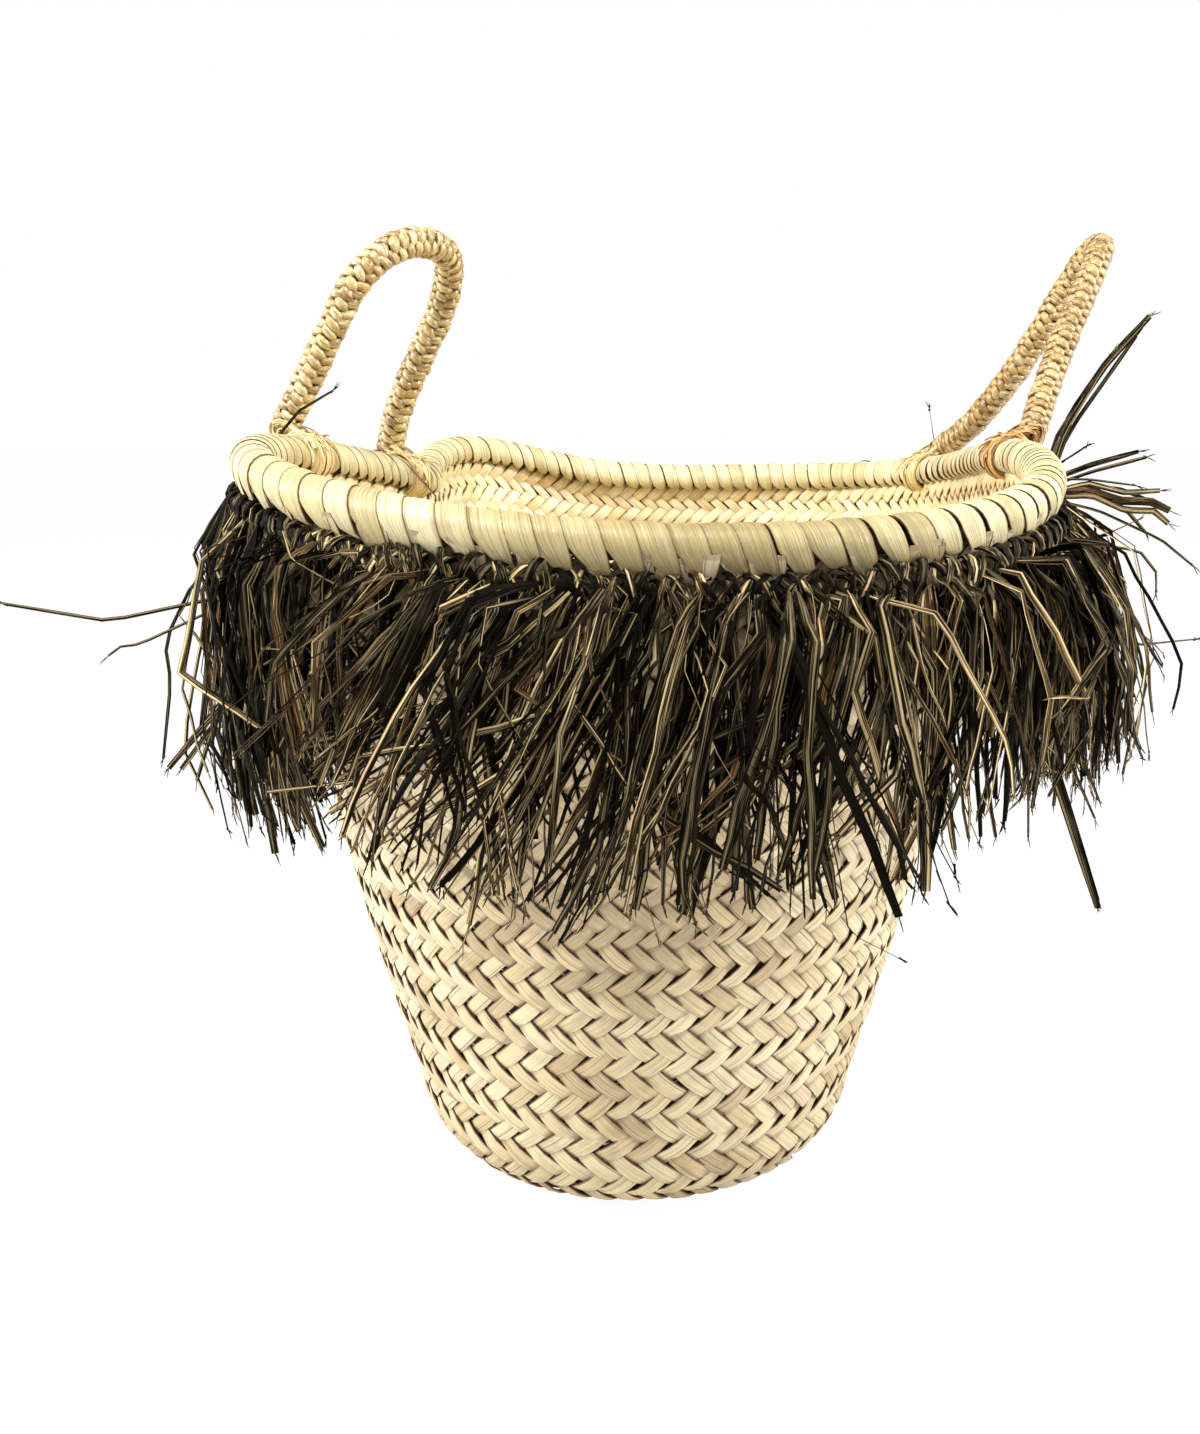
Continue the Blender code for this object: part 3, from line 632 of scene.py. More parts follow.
def wrap_pitch(turn):
    """Distance from one wrap to the next along the rim: broad at the front, narrow elsewhere."""
    wide = 0.0068 + 0.0024 * bump(turn, 272, 60)
    narrow = 0.0030 * bump(turn, -12, 20) + 0.0012 * bump(turn, 20, 22) + 0.0028 * bump(turn, 174, 15)
    return wide - narrow + 0.0030 * bump(turn, 216, 13)


def wrap_lap(turn):
    """Width of a wrap beside its pitch: over 1 they lap, and at the right front they stand apart."""
    return 1.05 + 0.11 * bump(turn, 240, 34) + 0.05 * bump(turn, 185, 25) - 0.32 * bump(turn, -12, 55)


def along_rim(pitch_at):
    """Lengths of rim at which pieces start, with a pitch that changes round the mouth."""
    step = 0.001
    turns = rim_turn(np.arange(0, RIM_LENGTH, step))
    passed = np.concatenate(([0], np.cumsum(step / pitch_at(turns))))
    count = int(round(passed[-1]))
    return np.interp(np.arange(count) * passed[-1] / count, passed, np.arange(len(passed)) * step)


def round_roll(gone, angle, radius):
    """Places round the roll: a length along the rim, an angle round the roll, and a radius."""
    centre, out, _ = rim_frame(rim_turn(gone % RIM_LENGTH))
    return centre + (out * np.cos(angle)[:, None] + UP * np.sin(angle)[:, None]) * radius[:, None]


def make_wraps():
    starts = along_rim(wrap_pitch)
    turns = rim_turn(starts)
    count = len(starts)
    pitch = np.diff(np.append(starts, RIM_LENGTH))
    chance = np.random.default_rng(21)
    jitter = chance.normal(0, 0.05, count) * pitch
    lean = chance.normal(0, 0.0005, count)
    lift = chance.uniform(0.8, 1.4, count)
    dip = chance.normal(0, 3.0, count)
    crown = chance.uniform(0.0001, 0.0004, count)
    tail = chance.uniform(0.0008, 0.0030, count)
    lap = wrap_lap(turns) + chance.normal(0, 0.03, count)
    tilt = 1 - 0.9 * bump(turns, -30, 75) - 0.75 * bump(turns, 150, 70)
    inner = 0.16 + 0.26 * bump(turns, 16, 26)
    point = 0.55 - 0.35 * bump(turns, -35, 40)

    def place(copy, plain):
        down = plain[:, 0] + 0.5
        side = plain[:, 1]
        angle = np.radians(WRAP_FROM + (WRAP_TO + dip[copy] - WRAP_FROM) * down)
        narrow = 1 - point[copy] * smooth(down, 0.80, 1.0) - 0.55 * smooth(down, inner[copy], 0.02)
        gone = starts[copy] + jitter[copy] + (down - 0.5) * (2 * WRAP_SLANT + lean[copy])
        gone += side * pitch[copy] * lap[copy] * narrow + pitch[copy] * 0.30 * smooth(down, 0.78, 1.0)
        tuck = 0.0006 * smooth(down, 0.94, 1.0) + 0.0012 * smooth(down, 0.1, 0.0)
        radius = ROLL_RADIUS + 0.0006 * lift[copy] * (tilt[copy] * side + 0.4)
        radius += (0.0001 + crown[copy]) * (1 - (2 * side) ** 2) + plain[:, 2] * LEAF_THICKNESS - tuck
        return round_roll(gone, angle, radius) - UP * (tail[copy] * smooth(down, 0.80, 1.0))[:, None]

    # Painted shade, partly the leaf's own tone: the wraps at the front are darker.
    dim = bump(turns, 277, 27)
    tone = (0.65 - 0.50 * dim) * chance.random(count) + 0.35 - 0.40 * dim
    made = many("rim_wraps", small_sheet(16, 4), count, place, np.clip(tone, 0, 1))
    made.data.materials.append(rim_leaf)
    return made


rim_wraps = make_wraps()
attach(rim_wraps, "basket")
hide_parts("rim_wrap")

# %% [markdown]
# Below the wraps the ends of the plait's strips show here and there as small pale tongues, because
# the weaver trims them only roughly. They are copies of the same small sheet, bent over the bottom of
# the roll, at chance places, so that they break up the edge between the rim and the fringe.

# %% Ends of the plait under the rim
TONGUES = 150


def make_tongues():
    chance = np.random.default_rng(23)
    count = TONGUES
    starts = np.sort(chance.uniform(0, RIM_LENGTH, count))
    broad = chance.uniform(0.0028, 0.0060, count)
    lean = chance.normal(0.0015, 0.0025, count)
    first = chance.uniform(-25, -5, count)
    last = chance.uniform(-86, -66, count)
    out_by = chance.uniform(0.0002, 0.0016, count)

    def place(copy, plain):
        down = plain[:, 0] + 0.5
        angle = np.radians(first[copy] + (last[copy] - first[copy]) * down)
        gone = starts[copy] + lean[copy] * down
        gone += plain[:, 1] * broad[copy] * np.sqrt(np.maximum(1.02 - down ** 2, 0.02))
        radius = ROLL_RADIUS + 0.0004 + out_by[copy] * down + plain[:, 2] * LEAF_THICKNESS
        return round_roll(gone, angle, radius) - UP * (0.0028 * smooth(down, 0.4, 1.0))[:, None]

    made = many("plait_tongues", small_sheet(5, 3), count, place, chance.random(count))
    made.data.materials.append(palm_leaf)
    return made


plait_tongues = make_tongues()
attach(plait_tongues, "basket")

# %% [markdown]
# Under the rim, raffia is knotted through the wall. A knot could be a closed loop of cord, but only
# its front shows: a few flat bands wound over and beside each other at a slant. So each knot is five
# copies of a closed strip, bent round a small centre. At the sides, where less of the header shows
# below the roll, the knots are smaller, and they are painted darker there as painted shade.

# %% The knotted header
# The middle of a knot from the middle of the roll: out and up.
HEADER_OUT, HEADER_DROP = 0.0056, -0.0120
KNOT_PITCH = 0.0087
BANDS_EACH = 5


def knot_pitch(turn):
    """Distance from knot to knot, the same all the way round."""
    return np.full_like(turn, KNOT_PITCH)


def at_sides(turn):
    """1 at the left and the right end of the mouth, and 0 at the front and the back."""
    return bump(turn, 205, 34) + bump(turn, -8, 34)


KNOTS = along_rim(knot_pitch)
print("knots:", len(KNOTS))


def make_knots():
    chance = np.random.default_rng(31)
    count = len(KNOTS) * BANDS_EACH
    knot = np.arange(count) // BANDS_EACH
    band = np.arange(count) % BANDS_EACH
    start = KNOTS[knot] + (band - 2.0) * 0.0013 + chance.normal(0, 0.0004, count)
    sides = at_sides(rim_turn(start))
    slope = np.where(band % 3 == 0, -1.0, 1.0) * chance.uniform(0.0012, 0.0052, count)
    size = chance.uniform(0.0030, 0.0044, count) + 0.0006 * (band == 0) - 0.0008 * sides
    broad = chance.uniform(0.0013, 0.0036, count)
    first = np.radians(chance.uniform(80, 130, count))
    last = np.radians(chance.uniform(-110, -60, count))
    drop = chance.normal(0, 0.0011, count)

    def place(copy, plain):
        down = plain[:, 0] + 0.5
        angle = first[copy] + (last[copy] - first[copy]) * down
        gone = start[copy] + slope[copy] * (down - 0.5) * 2 + plain[:, 1] * broad[copy]
        centre, out, _ = rim_frame(rim_turn(gone % RIM_LENGTH))
        radius = size[copy] + plain[:, 2] * LEAF_THICKNESS + 0.0004 * (1 - (2 * plain[:, 1]) ** 2)
        away = HEADER_OUT - 0.0012 * sides[copy] + radius * np.cos(angle)
        rise = HEADER_DROP + drop[copy] + radius * 1.15 * np.sin(angle)
        return centre + out * away[:, None] + UP * rise[:, None]

    # Painted shade: the knots at the sides are darker.
    tone = np.clip(chance.beta(1.2, 2.4, count) * (1 - 0.5 * sides), 0, 0.8)
    made = many("fringe_knots", small_sheet(6, 2), count, place, tone)
    made.data.materials.append(raffia)
    return made


fringe_knots = make_knots()
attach(fringe_knots, "basket")

# %% [markdown]
# Raffia hangs in bundles. The strands of one bundle leave their knot together, stick out a little,
# and were folded sharply in two places, so that each strand is three nearly straight stretches. Hair
# or a cloth simulation would hang too evenly, so each strand is walked down step by step with the
# directions of its bundle and a small shiver of its own. A strand that comes too close to the plait
# is moved out in front of it.

# %% Lines for hanging strands
STRAND_STEPS = 10
CLEAR_OF_WALL = 0.0016
# Above this distance under the roll's middle a strand is still at its knot and isn't moved.
BELOW_ROLL = 0.010


def lean_of(turn):
    """How far from straight down the strands end up, in degrees: at the ends they lean inward."""
    return 1 + 3 * bump(turn, 90, 60) - 13 * bump(turn, 207, 36) - 7 * bump(turn, -2, 32)


def first_lean(turn):
    """How far from straight down the strands leave their knots, in degrees: less at both ends."""
    return 37 - 33 * bump(turn, 207, 36) - 28 * bump(turn, -4, 34)


def length_of(turn):
    """Share of the full strand length: the fringe is shorter at the front's left and right."""
    shorter = 0.06 * bump(turn, 275, 36) + 0.31 * bump(turn, 311, 21) + 0.40 * bump(turn, 243, 13)
    return 1 - shorter + 0.06 * bump(turn, 212, 14) + 0.06 * bump(turn, 348, 14)


def brushed(turn):
    """How far along the rim the strands lean, in degrees: to the left at the front."""
    return -36 * bump(turn, 251, 14) - 15 * bump(turn, 278, 20) + 8 * bump(turn, 212, 14)


def keep_off_wall(points):
    """Move points that came too close out to just in front of the plait."""
    seen = np.arctan2(points[..., 1], points[..., 0])
    turn = np.interp((seen - RIM_SEEN[0]) % FULL_TURN + RIM_SEEN[0], RIM_SEEN, RIM_TURNS)
    wall = skin(turn, level_at(turn, points[..., 2]))
    least = np.hypot(wall[..., 0], wall[..., 1]) + WALL / 2 + CLEAR_OF_WALL
    reach = np.hypot(points[..., 0], points[..., 1])
    below_rim = points[..., 2] < mouth(turn)[..., 2] - BELOW_ROLL
    more = np.where(below_rim, np.maximum(least / reach, 1.0), 1.0)[..., None]
    return points * np.concatenate((more, more, np.ones_like(more)), axis=-1)


def hang(roots, turns, strands):
    """Points along each strand from the knot down to its tip."""
    _, out, along = rim_frame(turns)
    outward_shiver, sideways_shiver = strands["shivers"]
    points = [roots]
    for step in range(STRAND_STEPS):
        gone = (step + 0.5) / STRAND_STEPS
        stretch = (gone > strands["folds"]).sum(axis=0)
        lean = np.choose(stretch, strands["leans"]) * (1.15 - 0.3 * gone) + outward_shiver[:, step]
        aside = np.choose(stretch, strands["asides"]) + sideways_shiver[:, step]
        way = -UP * (np.cos(lean) * np.cos(aside))[:, None] + out * np.sin(lean)[:, None]
        way = unit(way + along * np.sin(aside)[:, None])
        points.append(points[-1] + way * (strands["length"] / STRAND_STEPS)[:, None])
    return keep_off_wall(np.stack(points, axis=1))


def sweep_strands(name, lines, widths, flatness, rolls, shades, taper=0.2):
    """Closed flat strands along lines that all have the same number of points. The rolls say how far
    each strand is turned about its line, and the taper how much its end narrows."""
    steps = lines.shape[1] - 1
    ways = unit(np.gradient(lines, axis=1))
    facing = unit(lines * (1.0, 1.0, 0.0)) + UP * 0.6
    level = unit(np.cross(ways, facing) + 1e-6)
    other = np.cross(ways, level)
    turned = level * np.cos(rolls)[..., None] + other * np.sin(rolls)[..., None]
    square = np.cross(ways, turned)

    def place(copy, plain):
        step = np.round(plain[:, 0] * steps).astype(int)
        slim = 1 - taper * smooth(plain[:, 0], 0.8, 1.0) - 0.35 * smooth(plain[:, 0], 0.15, 0.0)
        wide = widths[copy] * slim
        spot = lines[copy, step] + turned[copy, step] * (plain[:, 1] * wide)[:, None]
        return spot + square[copy, step] * (plain[:, 2] * wide * flatness[copy])[:, None]

    made = many(name, small_strand(steps), len(lines), place, shades, sharp=20.0)
    made.data.materials.append(raffia)
    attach(made, "basket")
    return made


# %% [markdown]
# Every knot lets go of a few bundles. A bundle could be one thick lock with a fringe texture, but at
# the edge of the fringe each strand is seen by itself. So a bundle shares its numbers, such as its
# folds, leans and tone, and each strand adds a smaller chance of its own. Now and then a bundle goes
# astray and sticks out, though not at the back and seldom at the left, and some strands are broad
# ribbons instead of narrow threads.

# %% Bundles from each knot


def bundles(groups, each, chance, length, wide, ribbons, tone, wild=1.0):
    """Turn angles, lines, widths, tones and rolls of strands: groups bundles of each strands for every
    knot, ribbons of them broad, and the wilder the further they spread sideways."""
    total = len(KNOTS) * groups
    bundle = np.repeat(np.arange(total), each)
    knot = bundle // groups
    count = len(bundle)

    def shared(size, own):
        """A random number that a bundle shares, and a smaller one for each of its strands."""
        return chance.normal(0, size, total)[bundle] + chance.normal(0, own, count)

    gone = KNOTS[knot] + shared(0.0024, 0.0008)
    turns = rim_turn(gone % RIM_LENGTH)
    centre, out, _ = rim_frame(turns)
    around = np.radians(np.clip(-15 + shared(30, 12), -80, 60))
    sides = at_sides(turns)
    roots = centre + out * (HEADER_OUT + 0.0030 * np.cos(around))[:, None]
    roots += UP * (HEADER_DROP + 0.0034 * np.sin(around))[:, None]
    knot_turns = rim_turn(KNOTS)
    often = 0.13 - 0.09 * bump(knot_turns, 205, 30) - 0.13 * bump(knot_turns, 90, 55)
    often += 0.04 * bump(knot_turns, 0, 30)
    astray = 28 * (chance.random(total) < np.repeat(often, groups))[bundle]
    pushed = brushed(turns) * (0.5 + 0.6 * chance.random(total))[bundle]
    folds = np.stack((0.08 + 0.20 * chance.random(total)[bundle] + chance.normal(0, 0.015, count),
                      0.36 + 0.50 * chance.random(total)[bundle] + chance.normal(0, 0.03, count)))
    leans = np.stack((first_lean(turns) + shared(13, 4) + astray,
                      lean_of(turns) + 7 + shared(7, 2) + 0.6 * astray,
                      lean_of(turns) + shared(7, 3) + 0.2 * astray))
    calm = 1 - 0.4 * sides
    asides = np.stack((0.6 * pushed + wild * calm * shared(20, 4), pushed + wild * shared(12, 3),
                       0.9 * pushed + wild * shared(21, 6)))
    strands = {"length": length * (1 + shared(0.05, 0.035)) * length_of(turns), "folds": folds,
               "leans": np.radians(leans), "asides": np.radians(asides),
               "shivers": np.radians(chance.normal(0, 3.0, (2, count, STRAND_STEPS)))}
    broad = chance.random(count) < ribbons
    widths = chance.gamma(6.0, wide / 6, count).clip(0.0006, 0.0030)
    widths = np.where(broad, chance.uniform(0.0020, 0.0036, count), widths)
    shades = tone + chance.choice((-0.34, 0.0, 0.26), total, p=(0.42, 0.36, 0.22))[bundle]
    shades += chance.normal(0, 0.15, count) + 0.06 * bump(turns, 310, 40) - 0.07 * sides
    shades = np.where(broad, np.clip(shades, tone - 0.10, 0.72), np.clip(shades, 0, 0.88))
    rolls = np.where(broad, shared(0.35, 0.2), shared(0.4, 0.8))
    return turns, hang(roots, turns, strands), widths, shades, rolls


def frayed(lines, widths, chance, each=2):
    """Short split ends at the tips of strands."""
    tips = np.repeat(lines[:, -1], each, axis=0)
    ways = np.repeat(unit(lines[:, -1] - lines[:, -2]), each, axis=0)
    ways = unit(ways + chance.normal(0, 0.26, ways.shape))
    length = chance.uniform(0.002, 0.0060, len(tips))[:, None]
    start = tips - ways * 0.0015
    return keep_off_wall(np.stack((start, start + ways * length * 0.6, start + ways * length), axis=1))


# %% [markdown]
# The fringe has three layers: short dark strands close to the knots, which close the gaps, the main
# strands, and a few wild pale ones on top. The short strands are dark partly from the dye and partly
# as painted shade deep in the fringe. It could be one object, but a piece stays light when the
# fringe is cut in four quarters, and the split ends of the strands are a piece of their own.

# %% The fringe
# Strands for each knot in the inner layer, which has no split ends.
INNER_EACH = 10
QUARTERS = ("right", "back", "left", "front")
PACKED_SLICES = 13


def quarter_of(degrees):
    """0 at the right, 1 at the back, 2 at the left and 3 at the front."""
    return (degrees + 45) % 360 // 90


def make_fringe():
    chance = np.random.default_rng(43)
    # The inner layer's low tone, 0.14, is partly the dye and partly painted shade deep in the fringe.
    layers = (bundles(2, INNER_EACH // 2, chance, 0.070, 0.0016, 0.05, 0.14),
              bundles(4, 4, chance, 0.100, 0.0012, 0.17, 0.34),
              bundles(3, 1, chance, 0.088, 0.0013, 0.12, 0.55, 1.7))
    turns, lines, widths, shades, rolls = (np.concatenate(part) for part in zip(*layers))
    flatness = np.clip(0.0004 / widths, 0.12, 0.45)
    twist = np.linspace(0, 1, STRAND_STEPS + 1) * chance.normal(0, 0.6, len(turns))[:, None]
    rolls = rolls[:, None] + twist
    pieces = []
    for quarter, name in enumerate(QUARTERS):
        chosen = quarter_of(np.degrees(turns)) == quarter
        pieces.append(sweep_strands(f"fringe_{name}", lines[chosen], widths[chosen], flatness[chosen],
                                    rolls[chosen], shades[chosen]))
    long_ones = np.arange(len(turns)) >= INNER_EACH * len(KNOTS)
    splits = frayed(lines[long_ones], widths[long_ones], chance)
    count = len(splits)
    pieces.append(sweep_strands("fringe_split_ends", splits, chance.uniform(0.0003, 0.0008, count),
                                np.full(count, 0.6), np.zeros((count, 3)),
                                np.repeat(shades[long_ones], 2), taper=0.6))
    return pieces


fringe = make_fringe()
for quarter, piece in enumerate(fringe[:len(QUARTERS)]):
    slices = [cut for cut in range(PACKED_SLICES) if quarter_of((cut + 0.5) * 360 / PACKED_SLICES) == quarter]
    packed = [f"fringe_{cut + 1:02d}" for cut in slices]
    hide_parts(*packed)
    print(piece.name, "takes the place of", ", ".join(packed))

# %% [markdown]
# A few strands have come loose: some stick out at both sides, some stand up at the right, and some
# lie across the others. Chance would hardly put them there, so each is drawn through a few given
# points in millimetres, cut into even steps, and swept like the rest. One is pale, because it missed
# the dye; it lies flat on the others. The last strand in the list has no split end.

# %% Loose strands
# Width in millimetres, tone, and the points in millimetres that the strand passes.
LOOSE_STEPS = 12
LOOSE = (
    (1.3, 0.3, ((-129, -85, 255), (-135, -93, 239), (-172, -102, 232), (-202, -110, 239))),
    (1.0, 0.3, ((-133, -80, 249), (-138, -82, 235), (-169, -85, 221), (-174, -88, 221),
       (-178, -90, 218))),
    (1.2, 0.35, ((-131, -80, 262), (-152, -80, 239), (-162, -80, 221), (-161, -80, 207),
       (-166, -80, 179))),
    (0.8, 0.3, ((-134, -70, 255), (-146, -70, 246), (-148, -70, 234), (-147, -70, 220),
       (-140, -70, 212))),
    (2.4, 0.5, ((-125, -85, 250), (-130, -88, 223), (-139, -92, 203), (-159, -95, 180))),
    (2.0, 0.4, ((-128, -80, 249), (-132, -87, 219), (-142, -93, 196), (-153, -100, 181))),
    (1.6, 0.3, ((-123, -90, 250), (-133, -93, 217), (-144, -97, 190), (-148, -100, 177))),
    (1.2, 0.35, ((-130, -50, 284), (-127, -48, 289), (-119, -47, 298), (-107, -45, 305))),
    (0.9, 0.3, ((-107, 12, 281), (-99, 5, 282), (-90, -3, 278), (-77, -10, 265))),
    (0.9, 0.2, ((95, 135, 244), (100, 131, 255), (105, 128, 267), (111, 124, 272), (119, 120, 268))),
    (0.8, 0.2, ((145, 120, 271), (142, 120, 286), (140, 120, 296))),
    (2.8, 0.35, ((154, -30, 273), (158, -30, 287), (160, -30, 296), (172, -30, 315), (186, -30, 331))),
    (1.4, 0.3, ((152, -35, 273), (156, -37, 290), (168, -38, 313), (181, -40, 329))),
    (1.8, 0.45, ((151, -32, 272), (155, -33, 289), (161, -34, 300), (172, -35, 318))),
    (1.6, 0.35, ((153, -34, 272), (157, -34, 286), (161, -34, 294), (169, -35, 307), (180, -35, 324))),
    (1.6, 0.35, ((150, -45, 270), (161, -50, 272), (172, -54, 271), (180, -56, 268))),
    (1.4, 0.3, ((150, -45, 268), (164, -52, 268), (175, -56, 263), (181, -58, 256))),
    (1.0, 0.2, ((154, -30, 273), (158, -30, 279), (167, -30, 285))),
    (2.0, 0.35, ((151, -40, 273), (164, -45, 279), (179, -50, 284))),
    (1.4, 0.3, ((151, -40, 271), (166, -45, 277), (182, -50, 282))),
    (0.9, 0.3, ((150, -45, 274), (163, -48, 274), (179, -50, 272))),
    (3.0, 0.8, ((150, -50, 270), (160, -53, 271), (172, -55, 267), (182, -57, 267), (188, -60, 264))),
    (2.4, 0.9, ((150, -50, 268), (162, -54, 269), (173, -58, 264), (182, -61, 264), (186, -65, 260))),
    (2.0, 0.75, ((150, -50, 270), (161, -53, 273), (173, -57, 270), (184, -60, 271))),
    (1.0, 0.4, ((150, -50, 267), (163, -60, 264), (182, -70, 255), (190, -80, 247))),
    (1.2, 0.3, ((149, -55, 262), (165, -59, 252), (178, -62, 250), (183, -66, 243), (182, -70, 236))),
    (1.2, 0.3, ((149, -55, 260), (163, -59, 248), (170, -62, 243), (175, -66, 225), (180, -70, 206))),
    (1.0, 0.3, ((149, -55, 258), (161, -60, 232), (169, -65, 220), (178, -70, 218), (196, -75, 221))),
    (1.4, 0.3, ((147, -60, 257), (157, -63, 233), (169, -67, 215), (178, -70, 199))),
    (1.8, 0.3, ((147, -60, 255), (157, -67, 226), (167, -73, 202), (176, -80, 186))),
    (1.8, 0.4, ((142, -70, 255), (152, -77, 221), (160, -83, 201), (164, -90, 183))),
    (1.4, 0.3, ((147, -60, 266), (158, -63, 254), (163, -67, 256), (174, -70, 262))),
    (3.0, 0.25, ((122, -105, 233), (129, -110, 207), (139, -115, 178), (153, -120, 139))),
    (2.2, 0.35, ((123, -105, 233), (131, -110, 206), (141, -115, 177), (153, -120, 142))),
    (2.2, 0.4, ((126, -100, 239), (136, -103, 209), (144, -107, 186), (153, -110, 167))),
    (1.8, 0.5, ((128, -100, 239), (138, -103, 209), (147, -107, 190), (154, -110, 173))),
    (1.2, 1.0, ((-39, -163, 198), (-34, -164, 193), (-27, -164, 191), (-20, -165, 193),
       (-13, -166, 195))),
    (0.8, 0.2, ((56, -150, 186), (62, -150, 164), (66, -150, 143), (83, -150, 134))),
    (1.6, 0.85, ((13, -185, 252), (15, -182, 229), (24, -178, 216), (37, -175, 196), (44, -172, 178))),
    (1.3, 0.75, ((-97, -165, 268), (-95, -165, 260), (-83, -165, 253), (-79, -165, 247))),
    (2.2, 0.7, ((-49, -178, 255), (-57, -175, 245), (-71, -171, 230), (-82, -168, 219))),
    (2.6, 0.75, ((-20, -176, 251), (-37, -174, 239), (-46, -172, 225), (-78, -170, 204))),
    (1.8, 0.6, ((-37, -172, 225), (-55, -170, 220), (-84, -168, 208))),
    (1.6, 0.6, ((-33, -168, 209), (-61, -166, 199), (-106, -165, 193))),
)


def make_loose():
    chance = np.random.default_rng(47)
    lines, widths, shades = [], [], []
    for width, tone, track in LOOSE:
        track = np.array(track) / 1000
        gone = np.concatenate(([0], np.cumsum(np.linalg.norm(np.diff(track, axis=0), axis=1))))
        spots = np.linspace(0, gone[-1], LOOSE_STEPS + 1)
        lines.append(np.stack([np.interp(spots, gone, track[:, axis]) for axis in range(3)], axis=1))
        widths.append(width / 1000)
        shades.append(tone)
    lines, widths = np.stack(lines), np.array(widths)
    rolls = chance.uniform(1.0, 1.8, len(lines))[:, None] + np.linspace(0, 0.5, LOOSE_STEPS + 1)
    splits = frayed(lines[:-1], widths[:-1], chance, 3)
    loose = sweep_strands("loose_strands", lines, widths, np.full(len(lines), 0.3), rolls, shades)
    tips = sweep_strands("loose_split_ends", splits, np.full(len(splits), 0.0006), np.full(len(splits), 0.6),
                         np.zeros((len(splits), 3)), np.repeat(shades[:-1], 3), taper=0.6)
    return loose, tips


loose_strands = make_loose()

# %% [markdown]
# The handles are loops of rope whose ends stand on the rim. A handle's middle line could be a curve
# object, but the braid below needs points, lengths and directions along it, so the line is worked out
# in numbers. Its outline is a few corners, given as shares of the way from foot to foot and of the
# handle's height, with smooth Bezier stretches between them. The whole loop leans out from the rim.

# %% The handles' middle lines
HANDLE_RADIUS = 0.0053
# From the middle of the roll to the middle of a foot: the wraps, the lashing and two small gaps lie
# between the roll and the rope.
LASHING_REACH = ROLL_RADIUS + 0.0003 + 0.0016 + 0.0003 + HANDLE_RADIUS
FOOT_SLANT = math.radians(40.0)
LEFT_LOOP = ((0, 0), (0.01, 0.22), (0.02, 0.48), (0.05, 0.76), (0.30, 0.965), (0.66, 0.99),
             (0.84, 0.80), (0.87, 0.50), (0.90, 0.22), (1, 0))
RIGHT_LOOP = ((0, 0), (0.06, 0.13), (0.14, 0.37), (0.205, 0.63), (0.255, 0.87), (0.33, 1.0),
              (0.415, 0.87), (0.475, 0.60), (0.58, 0.31), (0.76, 0.11), (1, 0))


def foot(degrees):
    """Middle of a handle's foot, on the lashing at a slant off the top of the roll."""
    centre, out, _ = rim_frame(np.array(math.radians(degrees)))
    return Vector(centre + (out * math.sin(FOOT_SLANT) + UP * math.cos(FOOT_SLANT)) * LASHING_REACH)


def handle_line(feet, lean, outline, height):
    """Closely spaced points along a handle's middle, from its near foot to its far foot."""
    near, far = (foot(degrees) for degrees in feet)
    axis = far - near
    out = Vector((axis.y, -axis.x, 0)).normalized()
    if out.dot(near + far) < 0:
        out.negate()
    rise = out.cross(axis).normalized()
    if rise.z < 0:
        rise.negate()
    upward = rise * math.cos(math.radians(lean)) + out * math.sin(math.radians(lean))
    corners = [near + axis * along + upward * height * up for along, up in outline]
    points = []
    for corner in range(len(corners) - 1):
        here, there = corners[corner], corners[corner + 1]
        before, after = corners[max(corner - 1, 0)], corners[min(corner + 2, len(corners) - 1)]
        reach = (there - here).length / 3
        start = here + (there - before).normalized() * reach
        end = there - (after - here).normalized() * reach
        points += interpolate_bezier(here, start, end, there, 13)[:-1]
    points = np.array(points + [corners[-1]])
    ends = unit(points[[0, -1]] - points[[1, -2]]) * HANDLE_RADIUS
    points = np.concatenate((points[:1] + ends[0], points, points[-1:] + ends[1]))
    gone = np.concatenate(([0], np.cumsum(np.linalg.norm(np.diff(points, axis=0), axis=1))))
    return points, gone


def line_frames(points, gone, spots):
    """Points, and two directions square to the line, at the given lengths along it."""
    spot = np.stack([np.interp(spots, gone, points[:, axis]) for axis in range(3)], axis=1)
    for _ in range(4):
        spot[1:-1] = (spot[:-2] + 2 * spot[1:-1] + spot[2:]) / 4
    ways = unit(np.gradient(spot, axis=0))
    sides = np.empty_like(ways)
    side = np.cross(ways[0], (1.0, 0.0, 0.0))
    for index, way in enumerate(ways):
        side = side - way * np.dot(side, way)
        side = side / np.linalg.norm(side)
        sides[index] = side
    return spot, sides, np.cross(ways, sides)


# %% [markdown]
# Where a strand of a tight round braid comes to the surface it shows as a short oval bead, almost
# square across the rope. Eight real strands could be swept round each other, but most of each would
# lie hidden inside. So each bead is one copy of a closed pillow whose ends dive between its
# neighbours. The beads stand in six columns, like bricks, and lean one way in one column and the
# other way in the next. At the feet the rope closes to a round end.

# %% The braids
BEAD_COLUMNS = 6
BEAD_PITCH = 0.0038
BEAD_SPAN = math.radians(124)
BEAD_SLANT = 0.0013
BEAD_THICKNESS = 0.0021


